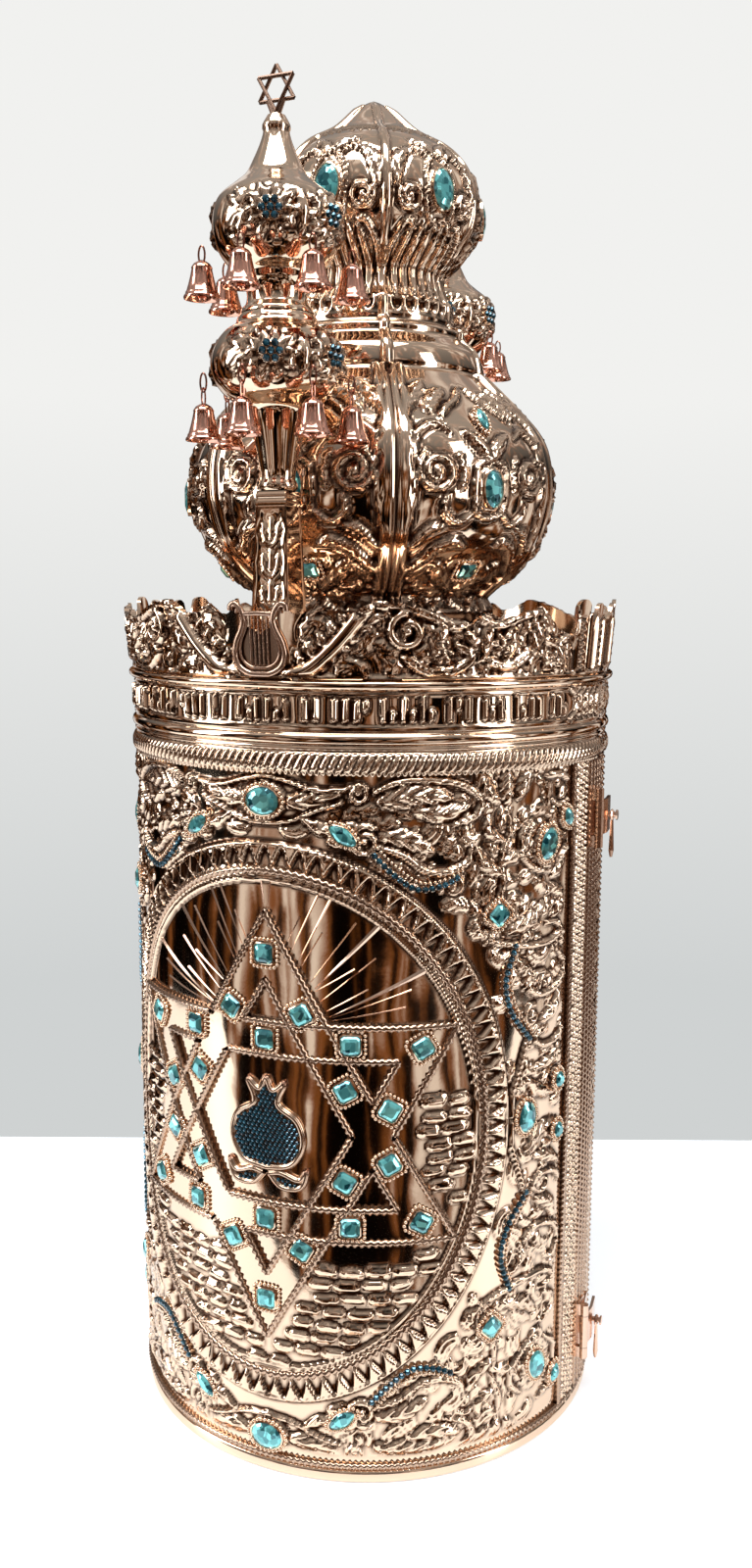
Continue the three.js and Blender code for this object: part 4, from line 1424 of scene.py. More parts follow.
    def ropes(self) -> None:
        """Lay the twisted wires of the ring, the star, the seams and the foot."""
        build = Build()
        inset = self.ring_wire_inset
        ring = arc((0, self.middle_z), self.ring_w - inset, self.ring_h - inset, 0, 360, 200)
        fine = 4.0 if self.front else 3.4
        lines = [Rope(ring, 2.1, 1.0, 4.2, fine)]
        for u in (-216.6, -210.2, -187.2, 187.2, 210.2, 216.6):
            seam = np.array([[u, 9.0], [u, self.head_z - 1]])
            lines.append(Rope(seam, 1.6, 1.2, fine=fine))
        lines.append(Rope(np.array([[-219, 9.6], [219, 9.6]]), 1.7, 0.9, fine=fine))
        if self.front:
            ridges = Build()
            self.rays(ridges)
            report(ridges.made("chased_rays", self.shop.cast, 15), self.side.body)
            lift = self.star_rise + 0.3
            lines += [Rope(line, 1.75, lift, 3.8, fine) for line in self.star_lines()]
        for rope in lines:
            rope.lay(build, self.radius, self.side.turn)
        wires = build.made(f"twisted_wires_{self.side.value}", self.shop.wire)
        report(wires, self.side.body)

    def star_lines(self) -> list[Path]:
        """Draw the star's edges, broken where the other triangle passes over.

        Returns:
            Paths on the flat pattern.
        """
        outer = self.star_r / 2
        low = outer - self.star_band
        lines = []
        for turned, k, depth in product((0, 1), range(3), (outer - 0.8, low + 0.8)):
            half = math.sqrt(3) * depth
            t = np.linspace(-half, half, 240)
            angle = math.radians(120 * k + 180 * turned)
            u = t * math.cos(angle) + depth * math.sin(angle)
            w = t * math.sin(angle) - depth * math.cos(angle)
            reach = self.triangles(u, w)[1 - turned]
            under = (reach > low) & (reach < outer) & ((t > 0) == bool(turned))
            lines += runs(np.stack([u, w + self.middle_z], 1), ~under)
        return lines


# Cup chains: azimuths and heights over the middle that each passes
CHAINS = (
    ((24.1, 153), (27.7, 144), (32.9, 135), (38.4, 136), (42, 140)),
    ((57, 99), (54.5, 80), (56.2, 62), (61.6, 45)),
)

# The emblem's outlines: places across and up from the middle
FRUIT = ((0, -22), (14, -19), (21, -7), (18, 6), (8, 13), (7, 18), (11, 27), (4, 22), (0, 29),
         (-4, 22), (-11, 27), (-7, 18), (-8, 13), (-18, 6), (-21, -7), (-14, -19), (0, -22))
FRUIT_LEAF = ((2, -25), (9, -24), (19, -27), (23, -21), (20, -31), (9, -32), (2, -25))


@dataclass
class Jewels:
    """The stones of the case wall, their frames, the cup chains and the middle emblem."""

    case: Case
    star_stone: float = 10.8
    chain_pitch: float = 3.8
    bead_pitch: float = 2.7
    pave_pitch: float = 2.7

    def seat(self, u: float, z: float, lift: float, turn: float = 0.0) -> Seat:
        """Seat on the wall, from its place across and its height in mm."""
        return seat(math.degrees(u / self.case.radius), z, self.case.radius + lift, turn)

    def stones(self) -> list[Stone]:
        """Seat all the wall's teal stones.

        Returns:
            The stones.
        """
        case, size = self.case, self.star_stone
        stones = []
        band = case.star_r / 2 - case.star_band / 2
        places = ((0, case.star_r - 24), (0, -band), (47, -band), (-47, -band))
        for k, (x, y) in product(range(6), places):
            angle = math.radians(60 * k)
            u = x * math.cos(angle) - y * math.sin(angle)
            w = x * math.sin(angle) + y * math.cos(angle)
            place = self.seat(u, w + case.middle_z, 2.2, 60 * k)
            stones.append(Stone(place, Cut.SQUARE, size, size, 3.0))
        for sign in (1, -1):
            stones.append(self.stone(0, 180 * sign, Cut.OVAL, 19, 15))
            for hand in (1, -1):
                both = sign * hand
                for azimuth, up, cut, w, l, turn in (
                        (17.5, 163.5, Cut.MARQUISE, 16.5, 8.5, -35 * both),
                        (66, 153, Cut.OVAL, 13, 18, -20 * both),
                        (73, 166, Cut.MARQUISE, 8, 11, 25 * both),
                        (52, 118, Cut.SQUARE, 10.5, 10.5, 45), (72, 15, Cut.OVAL, 7.5, 9.5, 0)):
                    stones.append(self.stone(azimuth * hand, up * sign, cut, w, l, turn))
        for hand in (1, -1):
            stones.append(self.stone(61 * hand, 0, Cut.OVAL, 12.5, 17.5))
        return stones

    def stone(self, azimuth: float, up: float, cut: Cut, w: float, l: float,
              turn: float = 0.0) -> Stone:
        """One stone of the border."""
        place = seat(azimuth, self.case.middle_z + up, self.case.radius + 2.8, turn)
        return Stone(place, cut, w, l, 2.8)

    def build(self) -> None:
        """Set the stones."""
        gems, metal = Build(), Build()
        for stone in self.stones():
            add_stone(gems, metal, stone)
        self.deliver(gems, "teal_stones", self.case.shop.teal, 12)
        self.deliver(metal, "stone_settings", self.case.shop.wire, 50)
        self.chains()
        self.emblem()

    def deliver(self, build: Build, name: str, finish: bpy.types.Material, sharp: float) -> None:
        """Make a piece of stones or of their metal and report it on the front half.

        Args:
            build: The piece's meshes.
            name: Its name.
            finish: Its material.
            sharp: Angle in degrees over which an edge is sharp.
        """
        glass = finish in (self.case.shop.teal, self.case.shop.pave)
        slot = "teal_stone" if glass else "rose_gold"
        report(build.made(name, finish, sharp), Side.FRONT.body, slot=slot)

    def chains(self) -> None:
        """Lay the cup chains along the border's inner edge, with a row of beads beside each."""
        gems, metal = Build(), Build()
        case = self.case
        for knots, sign, hand in product(CHAINS, (1, -1), (1, -1)):
            line = smooth_path([case.place(sign, hand * a, d) for a, d in knots])
            for u, v in even(line, self.chain_pitch):
                place = self.seat(u, v, 0.9)
                gems.ball(place, 0, 0, 0.9, 2.0)
                metal.turned_on(place, [[2.1, -1.2], [2.1, 0.7], [1.9, 0.9]], 8)
            for u, v in even(line + (line - [0, case.middle_z]) * 0.026, self.bead_pitch):
                metal.ball(self.seat(u, v, 1.2), 0, 0, 0.6, 1.2)
        self.deliver(gems, "cup_chain_stones", case.shop.pave, 25)
        self.deliver(metal, "cup_chain_cups", case.shop.wire, 40)

    def emblem(self) -> None:
        """Raise the emblem, a pomegranate with two leaves, framed and set with small stones."""
        case = self.case
        leaf = smooth_path(FRUIT_LEAF, 6)
        gems, metal = Build(), Build()
        for line in (smooth_path(FRUIT, 6), leaf, leaf * [-1, 1]):
            closed = even(line, 1.6)
            angle = closed[:, 0] / case.radius
            for lift, radius in ((2.0, 1.25), (0.9, 2.0)):
                centres = on_wall(angle, case.radius + lift, closed[:, 1] + case.middle_z)
                metal.tube(centres, outward(angle), radius * MM, 8)
            self.pave(gems, metal, closed)
        self.deliver(gems, "emblem_pave", case.shop.pave, 25)
        self.deliver(metal, "emblem_frame", case.shop.wire, 0)

    def pave(self, gems: Build, metal: Build, outline: Path) -> None:
        """Fill an outline with small set stones on a metal bed.

        Args:
            gems: Build that takes the glass.
            metal: Build that takes the cups.
            outline: The closed outline, across and up from the middle.
        """
        pitch = self.pave_pitch
        low, high = outline.min(axis=0), outline.max(axis=0)
        for j, v in enumerate(np.arange(low[1], high[1], pitch * 0.87)):
            for u in np.arange(low[0] + (j % 2) * pitch / 2, high[0], pitch):
                gap = np.linalg.norm(outline - [u, v], axis=1).min()
                if gap < 1.9 or not within(outline, u, v):
                    continue
                place = self.seat(u, v + self.case.middle_z, 1.0)
                gems.ball(place, 0, 0, 0.5, 1.4)
                metal.turned_on(place, [[1.45, -1.2], [1.4, 0.2], [1.2, 0.3]], 6)


def within(outline: Path, x: float, y: float) -> bool:
    """Tell whether a place lies inside a closed outline.

    Args:
        outline: The outline.
        x: Place across.
        y: Place up.

    Returns:
        True inside it.
    """
    a, b = outline, np.roll(outline, -1, axis=0)
    spans = (a[:, 1] > y) != (b[:, 1] > y)
    rise = np.where(b[:, 1] == a[:, 1], 1e-9, b[:, 1] - a[:, 1])
    cross = a[:, 0] + (y - a[:, 1]) * (b[:, 0] - a[:, 0]) / rise
    return bool((spans & (x < cross)).sum() % 2)


# Band, crest and crown


@dataclass
class HeadBand:
    """Spun band round the head of one half, with its gadroon rope, mouldings and inscription."""

    side: Side
    shop: Shop
    radius: float = 140.0
    foot_z: float = 397.0
    rope_top: float = 408.5
    text_z: float = 422.4
    text_end: float = 73.0
    front_step: float = 1.1
    back_step: float = 1.7
    profile: tuple[tuple[float, float], ...] = (
        (140.4, 397.0), (142.0, 397.0), (143.6, 398.6), (144.3, 401.0), (144.3, 404.5),
        (143.4, 407.4), (142.0, 408.6), (142.0, 409.4), (142.9, 409.9), (143.0, 411.0),
        (142.0, 411.6), (142.6, 412.4), (143.9, 413.2), (144.5, 415.0), (144.0, 417.2),
        (142.7, 418.2), (142.1, 418.8), (142.9, 419.4), (143.2, 420.4), (142.6, 421.2),
        (142.6, 439.6), (144.2, 440.4), (145.9, 442.0), (146.1, 443.6), (145.6, 444.9),
        (141.0, 445.0))

    def draw(self, relief: Relief, wall: Turned) -> None:
        """Chase the beads, the inscription's strokes and the leaves beside them.

        Args:
            relief: The sheet.
            wall: The band's wall.
        """
        low = wall.s[0] + 1.4
        relief.beads(np.array([[0, low], [219, low]]), 3.2, 1.3, 1.1)
        foot = float(np.interp(self.text_z, wall.z[:-6], wall.s[:-6]))
        end = math.radians(self.text_end) * self.radius
        if self.side is Side.FRONT:
            self.strokes(relief, foot, end)
        for rise in (0, 16.4):
            relief.level(foot - 0.6 + rise, end + 4, 1.2, 0.7)
        arch = smooth_path([(end, foot), (end + 5, foot + 3), (end + 7, foot + 8),
                            (end + 5, foot + 13), (end, foot + 16)])
        relief.rib(arch, 2.0, 1.3, 1, (1, 1))
        for k in range(4):
            u = end + 10 + 8 * k
            relief.leaf(bend((u, foot + 2), 70, 13, [6, -2, -8], 10), 7, 1.6, 4)
            relief.boss((end + 14 + 8 * k, foot + 3), 1.7, 1.7, 1.3)
        seam = math.radians(88.2) * self.radius
        relief.beads(np.array([[seam, foot], [seam, foot + 16]]), 2.6, 1.2, 1.2)

    def gadroons(self, wall: Turned, around: np.ndarray) -> np.ndarray:
        """Heights of the slanting gadroons, which lean one way all round.

        Args:
            wall: The band's wall.
            around: Place across of each column, in mm.

        Returns:
            Heights in mm, rows by columns.
        """
        rope = ((wall.z - self.foot_z) / (self.rope_top - self.foot_z))[:, None]
        wave = np.abs(((around[None] - 5.5 * rope) / 4.4) % 1 - 0.5) * 2
        swell = np.sin(np.pi * np.clip(rope, 0, 1)) ** 0.5
        shape = 1.9 * (np.clip(1.5 * wave, 0, 1) ** 0.6 - 0.8) * swell
        return np.where((rope > 0.14) & (rope < 0.92), shape, 0)

    def strokes(self, relief: Relief, foot: float, end: float) -> None:
        """Raise a row of short plain strokes where the inscription stands.

        Args:
            relief: The sheet.
            foot: Height of their foot along the profile.
            end: Where the row ends.
        """
        chance = np.random.default_rng(11)
        u = 3.0
        while u < end - 6:
            for _ in range(int(chance.integers(2, 4))):
                tall = chance.uniform(9.5, 11.5)
                lean = chance.uniform(-0.8, 0.8)
                base = foot + 2.2 + chance.uniform(0, 0.8)
                if u > end - 4:
                    break
                stroke = np.array([[u, base], [u + lean, base + tall]])
                relief.rib(stroke, 3.0, 2.0, 1, (0.9, 0.9), 0.5)
                if chance.random() < 0.45:
                    level = base + tall * chance.choice([0.2, 0.8])
                    tick = np.array([[u + 4.4, level - 2], [u + 4.8, level + 2]])
                    relief.rib(tick, 3.0, 1.8, 1, (0.9, 0.9), 0.4)
                    u += 4.4
                u += chance.uniform(5.2, 6.0)
            u += 4.2

    def build(self) -> None:
        """Make the band."""
        step = self.front_step if self.side is Side.FRONT else self.back_step
        wall = Turned(self.profile, step * 0.8)
        u = columns(self.radius, step)
        relief = Relief(np.tile(u, (len(wall.z), 1)), wall.s)
        self.draw(relief, wall)
        around = both_ways(u)
        lift = relief.mirrored() + self.gadroons(wall, around)
        points = wall.points(np.degrees(around / self.radius) + self.side.turn, lift)
        build = Build()
        build.grid(points)
        name = self.side.value
        piece = build.made(f"moulded_band_{name}", self.shop.plate)
        bend_light(piece, sheet_normals(points))
        # Painted shade in the band's hollows.
        store_painted_shade(piece, painted_shade_shares(lift))
        report(piece, self.side.body, f"head_band_{name}")


# The coronet's top edge: azimuths and heights there
TOP_AZIMUTH = (0, 3.4, 5, 7, 9.5, 12, 15, 18, 21, 24, 29, 36, 44, 47, 51, 57, 61, 67, 71, 72.6)
TOP_EDGE = (24, 27, 42, 34, 33, 39, 34, 33, 36, 40.5, 39, 34.5, 29, 35, 30.5, 35, 37.5, 26, 22, 27)
TRUNKS = (
    (((30, 12), (35, 5), (41, 6), (44, 13), (41, 18)), 5.6, 3.8, 2, 0.8, 0.6),
    (((43, 24), (48, 10), (54, 8), (59, 16)), 5.6, 3.8, 2, 0.8, 0.6),
    (((58, 34), (61, 24), (66, 18), (70, 22)), 5.0, 3.4, 2, 0.8, 0.6),
    (((23, 38), (29, 38), (35, 33), (40, 28), (44, 30)), 5.0, 3.6, 2, 0.8, 0.6),
    (((45, 32), (50, 28), (56, 33), (61, 35)), 4.6, 3.4, 2, 0.8, 0.6),
)
LYRE = ((0, 2.8), (6, 3.2), (11.5, 6.5), (13.8, 12), (12.6, 19), (9.6, 25), (8.2, 30), (9.4, 35),
        (12.4, 38.6), (15, 37.6), (15.2, 35))


@dataclass
class Crest:
    """Cast coronet of one half, on a line of leaves, arches and posts."""

    side: Side
    shop: Shop
    radius: float = 141.3
    foot_z: float = 445.3
    tall: float = 42.0
    thick: float = 2.6
    flare: float = 3.4
    front_step: float = 1.1
    back_step: float = 2.2

    def at(self, azimuth: float) -> float:
        """Place across from an azimuth."""
        return math.radians(azimuth) * self.radius

    def place(self, azimuth: float, up: float) -> tuple[float, float]:
        """Place on the flat pattern from an azimuth and a height."""
        return self.at(azimuth), up

    def top(self, azimuth: np.ndarray) -> np.ndarray:
        """Find the height of the top edge.

        Args:
            azimuth: Azimuths in degrees.

        Returns:
            Heights in mm.
        """
        a = np.abs(azimuth)
        line = np.interp(a, TOP_AZIMUTH, TOP_EDGE)
        line = line + 1.1 * np.abs(np.sin(np.radians(a) * 46)) * (a < 71) - 0.6
        for middle, half, height in ((76, 3.3, 41.5), (84.4, 2.3, 39.5)):
            round_top = height - 7 + 7 * dome((a - middle) / half)
            line = np.where(np.abs(a - middle) < half, round_top, line)
        line = np.where((a > 79.3) & (a < 82.1), 29.0, line)
        return np.where(a > 86.7, 30.5, line)

    def draw(self, relief: Relief) -> None:
        """Model the lyre, the trunks, leaves, swags and posts on the coronet's face.

        Args:
            relief: The sheet.
        """
        chance = np.random.default_rng(5)
        for u, v in product(np.arange(26, 176, 13.0), (5, 16, 27)):
            hand = int(chance.choice([-1, 1]))
            place = (u + chance.uniform(-3, 3), v + chance.uniform(-2, 2))
            heading, length = chance.uniform(0, 180), chance.uniform(17, 22)
            relief.leaf(bend(place, heading, length, [7 * hand, 4 * hand], 9), 11.0, 1.5, 3)
        relief.forms(TRUNKS, self.place)
        relief.volute(self.place(30.5, 25), 9.5, 100, 1, 4.2, 3.6, 1, 1.2)
        for a, h in ((37, 29), (47, 28), (53, 28), (60, 31), (67, 20)):
            relief.leaf(bend((self.at(a) - 1, h - 16), 85, 17, [-2, 3], 10), 11, 3.2, 4)
        for a, v in ((38, 14), (51, 19), (65, 9)):
            relief.rosette(self.place(a, v), 6.0, 6, 3.2)
        if self.side is Side.FRONT:
            self.lyre_ground(relief)
        for middle, half, clear, height in ((76, 2.7, 3.2, 33), (84.4, 1.8, 2.2, 31)):
            u0, w = self.at(middle), self.at(half)
            relief.h = np.where(np.abs(relief.u - u0) < self.at(clear), 0.8, relief.h)
            for u in (u0 - w, u0 + w):
                relief.rib(np.array([[u, 2], [u, height]]), 1.8, 1.6, 1, (1, 1), 0, 0.8)
            for v in np.arange(5, height, 4.0):
                relief.boss((u0, v), w * 0.55, 1.5, 1.3, 0, 0.5, 0.2, 0.8)
        relief.level(1.4, self.at(90), 2.4, 1.4)

    def lyre_ground(self, relief: Relief) -> None:
        """Clear the ground behind the lyre and model the leaning branch beside it.

        Args:
            relief: The sheet.
        """
        relief.h = np.where((relief.u < 14) & (relief.v > 2), 0.0, relief.h)
        for k in range(6):
            foot = self.place(9.5 + 2.3 * k, 6 + 5.2 * k)
            relief.leaf(bend(foot, -8, 12, [4, -3], 8), 6.5, 2.4, 3)
            relief.leaf(bend(foot, 125, 10, [-4, 3], 8), 5.5, 2.4, 3)
        knots = ((5.5, 3), (10, 5), (14.5, 14), (18.5, 25), (22.5, 38))
        branch = smooth_path([self.place(*knot) for knot in knots])
        relief.rib(branch, 8.0, 4.4, 1, (0.7, 0.9), 0.9)
        relief.boss(branch[-2], 5.0, 4.2, 4.6)

    def lyre(self) -> None:
        """Make the lyre's frame, its inner rim, its bar and its strings."""
        build = Build()
        half = smooth_path(LYRE)
        whole = np.concatenate([half[:0:-1] * [-1, 1], half])
        lines = [(whole, 1.7, 3.2), (whole * [0.8, 0.86] + [0, 3.6], 0.8, 2.6),
                 (np.array([[-8.4, 33.4], [0, 33.8], [8.4, 33.4]]), 1.3, 3.2)]
        lines += [(np.array([[u, 7.4], [u, 20], [u, 33]]), 0.5, 2.6)
                  for u in (-4.8, -2.4, 0.0, 2.4, 4.8)]
        for line, wire, lift in lines:
            path = even(line, 1.2)
            angle = path[:, 0] / self.radius
            r = self.radius + lift + self.flare * path[:, 1] / self.tall
            centres = on_wall(angle, r, path[:, 1] + self.foot_z)
            build.tube(centres, outward(angle), wire * MM, 8)
        report(build.made("cast_lyre", self.shop.cast), self.side.body)

    def build(self) -> None:
        """Make the coronet."""
        front = self.side is Side.FRONT
        step = self.front_step if front else self.back_step
        u = columns(self.radius, step)
        rows = int(self.tall / step)
        share = np.linspace(0, 1, rows)
        height = self.top(np.degrees(u / self.radius))
        v = np.linspace(0, self.tall, rows)
        relief = Relief(np.tile(u, (rows, 1)), v)
        self.draw(relief)
        relief.h = np.stack([np.interp(share * height[j], v, relief.h[:, j])
                             for j in range(len(u))], 1)
        lift = relief.mirrored()
        tops = np.concatenate([height[:0:-1], height])
        azimuth = np.radians(np.degrees(both_ways(u) / self.radius) + self.side.turn)
        z = share[:, None] * tops[None, :]
        lean = self.flare * z / self.tall
        face = on_wall(azimuth, self.radius + self.thick - 1.2 + lean + lift, z + self.foot_z)
        back = on_wall(azimuth, self.radius + lean + 0 * lift, z + self.foot_z)
        build = Build()
        build.grid(face)
        build.grid(back[:, ::-1] if front else back[::6, ::-1])
        build.grid(np.stack([face[-1], back[-1]]))
        build.grid(np.stack([back[:, 0], face[:, 0]], 1))
        build.grid(np.stack([face[:, -1], back[:, -1]], 1))
        name = self.side.value
        piece = build.made(f"cast_coronet_{name}", self.shop.plate, 60)
        shares = painted_shade_shares(lift)
        if front:
            # Painted shade: the ground behind the lyre is darkened as if in its shadow.
            behind = np.abs(np.degrees(azimuth)) < 4.6
            shares = np.maximum(shares, np.where(behind, 0.75, 0))
            self.lyre()
        store_painted_shade(piece, shares)
        report(piece, self.side.body, f"crest_{name}")


# Relief of half a crown panel: each place is a share of the way to the rib and a height over
# the crown's foot
PANEL_FOOT = (
    (((0.08, 52), (0.3, 58), (0.52, 66)), 12, 2.6, 6),
    (((0.92, 60), (0.74, 64), (0.55, 72), (0.36, 76), (0.2, 74)), 7.5, 3.4, 3, 0.9, 0.3),
    (((0.94, 70), (0.8, 74), (0.66, 82), (0.5, 84)), 5.5, 3.0, 3, 0.9, 0.3),
    (((0.94, 148), (0.86, 128), (0.84, 104), (0.88, 84)), 5.0, 3.0, 2, 0.6, 0.9),
)
PANEL_BODY = (
    (((0.42, 132), (0.6, 137), (0.8, 130), (0.82, 116)), 4.4, 2.9, 2, 0.3, 0.5),
    (((0.18, 92), (0.36, 86), (0.52, 92), (0.5, 100)), 4.0, 2.8, 2, 0.4, 0.3),
    (((0.0, 118), (0.12, 127), (0.3, 134)), 9, 2.8, 5),
    (((0.62, 145), (0.5, 153), (0.3, 158)), 11, 2.6, 6),
    (((0.86, 146), (0.74, 154), (0.56, 162)), 10, 2.6, 6),
    (((0.05, 160), (0.2, 152), (0.38, 147), (0.5, 140)), 4.2, 2.6, 2, 0.4, 0.3),
)
PANEL_OVAL = (
    (((0.0, 119.5), (0.16, 116), (0.2, 104), (0.16, 92), (0.0, 88.5)), 2.6, 2.6, 1, 1, 1),
)
PANEL_NECK = tuple(
    (((share, 216), (share * 1.02, 228), (share * 0.86, 240), (share * 0.7, 250)),
     4.6, 2.0, 2, 0.5, 0.3)
    for share in (0.14, 0.4, 0.66)
) + ((((0.9, 226), (0.84, 240), (0.62, 250), (0.4, 247)), 4.0, 2.4, 2, 0.4, 0.3),)
PANEL_TOP = (
    (((0.2, 284), (0.4, 288), (0.66, 284), (0.82, 272)), 3.6, 2.4, 2, 0.4, 0.4),
    (((0.84, 268), (0.8, 279), (0.6, 288)), 8, 2.4, 5),
    (((0.1, 286), (0.22, 291), (0.5, 294)), 7, 2.2, 4),
)


# Stones of a panel: height over the foot, distance from the axis, degrees that the wall faces
# upwards, cut, width, length and rise
CROWN_STONES = (
    (267, 63.4, 3, Cut.OVAL, 14, 22, 3.0), (141, 99.0, 32, Cut.MARQUISE, 7, 14, 2.4),
    (61, 87.4, -38, Cut.SQUARE, 11.5, 9.5, 2.6), (104, 109.0, 0, Cut.OVAL, 13, 20, 2.6),
)


@dataclass
class Crown:
    """One half of the onion crown: three embossed panels between double ribs."""

    side: Side
    shop: Shop
    base_z: float = 441.3
    foot_top: float = 70.0
    band_foot: float = 172.0
    seam: float = 89.86
    front_step: float = 1.45
    back_step: float = 2.5
    knots: tuple[tuple[float, float], ...] = (
        (70, 0.2), (70, 30), (73, 38), (69.5, 46), (76, 53), (89, 64), (101, 80), (107.3, 105),
        (103.5, 131), (88, 151), (69, 169), (66, 172), (66.5, 175), (64, 184), (57.5, 190),
        (55, 193), (55, 197), (49, 199), (47, 203), (47, 212), (45, 214), (42, 220), (40.5, 229),
        (45, 235), (53, 243), (60, 254), (62, 266), (59, 281), (53, 291), (43, 300),
        (26.4, 309.5), (13, 321.5), (6, 327), (0.8, 329.6))

    def __post_init__(self) -> None:
        """Space the rows of the wall."""
        self.step = self.front_step if self.side is Side.FRONT else self.back_step
        self.wall = Turned(smooth_path(self.knots, 10) + [0, self.base_z], self.step)

    def rise(self, height: float) -> float:
        """Length along the profile at a height over the foot."""
        return float(np.interp(height + self.base_z, self.wall.z, self.wall.s))

    def half_panel(self, height: float) -> float:
        """Distance from a panel's middle to its rib at a height over the foot."""
        return float(np.interp(height + self.base_z, self.wall.z, self.wall.r)) * math.pi / 6

    def place(self, share: float, height: float) -> tuple[float, float]:
        """Place on the sheet from the share of the way to the rib and a height."""
        return share * self.half_panel(height), self.rise(height)

    def line(self, *knots: tuple[float, float]) -> Path:
        """Smooth line through such places."""
        return smooth_path([self.place(*knot) for knot in knots])

    def draw(self, relief: Relief) -> None:
        """Emboss half of a panel, from its middle to the rib.

        Args:
            relief: The sheet of the half panel.
        """
        h = self.wall.z[:, None] - self.base_z + 0 * relief.u
        chance = np.random.default_rng(2)
        relief.h = np.where((h > 39) & (h < 68), -0.4, relief.h)
        for height, share in product((43, 52, 61), np.arange(0.06, 0.95, 0.16)):
            u, v = self.place(share, height)
            place = (u + chance.uniform(-1, 1), v + chance.uniform(-1, 1))
            hand = int(chance.choice([-1, 1]))
            curl = bend(place, chance.uniform(0, 360), 12, [10 * hand, 8 * hand], 8)
            relief.rib(curl, 6.0, 1.1, 2, (0.2, 0.7), 0.2)
        relief.forms(PANEL_FOOT, self.place)
        relief.boss(self.place(0.6, 112), 12, 9.5, 1.2, 0, 0.3)
        relief.volute(self.place(0.6, 112), 11, 60, -1, 3.0, 2.8, 1, 1.7)
        relief.forms(PANEL_BODY, self.place)
        relief.beads(self.line((0.34, 104), (0.32, 112), (0.36, 120)), 3.6, 1.6, 2.2)
        relief.boss(self.place(0, 104), 9.6, 13.2, 1.8, 0, 0.2)
        relief.forms(PANEL_OVAL, self.place)
        relief.boss(self.place(0, 61), 7.0, 6.0, 2.4, 0, 0.2)
        relief.boss(self.place(0, 141), 4.4, 8.0, 2.2, 0, 0.2)
        self.draw_top(relief, h)
        edge = self.wall.r[:, None] * math.pi / 6 - relief.u
        for middle in (2.3, 6.0):
            across = (edge - middle) / 1.9
            inside = (np.abs(edge - middle) < 1.9) & (h > 36) & (h < self.band_foot)
            tube = np.maximum(0.6 + 2.6 * dome(across), relief.h * 0.3)
            relief.h = np.where(inside, tube, relief.h)
        above = (edge < 2.6) & (h > self.band_foot) & (h < 326)
        relief.h = np.where(above, np.maximum(2.0 * dome(edge / 2.6), relief.h), relief.h)
        relief.h = np.where((edge < 1.2) & (h < self.band_foot), 0.6, relief.h)

    def draw_top(self, relief: Relief, h: np.ndarray) -> None:
        """Emboss the small storey, the lace band and the cap.

        Args:
            relief: The sheet of the half panel.
            h: Height of each cell over the crown's foot.
        """
        pitch = self.half_panel(207) / 3
        swing = (((relief.u / pitch + 0.5) % 1) - 0.5) * pitch
        arch = np.hypot(swing, (210.4 - h) * 0.62)
        lace = np.clip((arch - 2.9) / 0.5, -1.9, 0.9)
        relief.h = np.where((h > 203) & (h < 212), lace, relief.h)
        for height in (202.6, 212.6):
            relief.level(self.rise(height), 60, 1.6, 1.2)
        relief.forms(PANEL_NECK, self.place)
        relief.volute(self.place(0.58, 262), 7.2, 30, -1, 2.6, 2.4, 1, 1.6)
        relief.forms(PANEL_TOP, self.place)
        oval = self.line((0.0, 287), (0.24, 280), (0.3, 267), (0.24, 254), (0.0, 248))
        relief.beads(oval, 3.2, 1.4, 2.2)
        relief.boss(self.place(0, 267), 8.6, 12.5, 2.0, 0, 0.2)
        relief.level(self.rise(305), 40, 2.4, 1.4)
        relief.beads(self.line((0.2, 302), (0.9, 302)), 5.0, 1.3, 1.6)

    def stones(self) -> list[Stone]:
        """Seat the stones of this half's three panels.

        Returns:
            The stones.
        """
        stones = []
        for k, (up, radius, lean, *rest) in product((-1, 0, 1), CROWN_STONES):
            place = seat(60 * k + self.side.turn, self.base_z + up, radius, 0, lean)
            stones.append(Stone(place, *rest))
        return stones

    def build(self) -> None:
        """Make the half crown."""
        wall = self.wall
        count = int(round(math.radians(30) * 88 / self.step)) + 1
        share = np.linspace(0, 1, count)
        relief = Relief(share[None, :] * wall.r[:, None] * math.pi / 6, wall.s)
        self.draw(relief)
        whole = relief.mirrored()
        lift = np.concatenate([whole, whole[:, 1:], whole[:, 1:]], axis=1)
        local = both_ways(share) * 30
        azimuth = np.concatenate([local - 60, local[1:], local[1:] + 60])
        azimuth = np.clip(azimuth, -self.seam, self.seam) + self.side.turn
        fade = np.clip((wall.r - 3) / 10, 0, 1)[:, None]
        points = wall.points(azimuth, lift * fade)
        build = Build()
        build.grid(points)
        name = self.side.value
        piece = build.made(f"embossed_crown_{name}", self.shop.plate)
        bend_light(piece, sheet_normals(points))
        # Painted shade in the hollows, and darker towards the crown's foot under its swell.
        low = np.clip((self.foot_top - (wall.z - self.base_z)) / 9, 0, 1)[:, None]
        store_painted_shade(piece, np.clip(painted_shade_shares(lift, 2, 0.9) + 0.5 * low, 0, 1))
        report(piece, self.side.body, f"crown_{name}")
        self.lining(points, azimuth)
        gems, metal = Build(), Build()
        for stone in self.stones():
            add_stone(gems, metal, stone, stone.w < 13)
        nodes = [f"crown_stone_{name}_{k}" for k in (1, 2, 3)]
        jewels = gems.made(f"crown_jewels_{name}", self.shop.teal, 12)
        report(jewels, self.side.body, *nodes, slot="teal_stone")
        settings = metal.made(f"crown_settings_{name}", self.shop.wire, 50)
        report(settings, self.side.body)

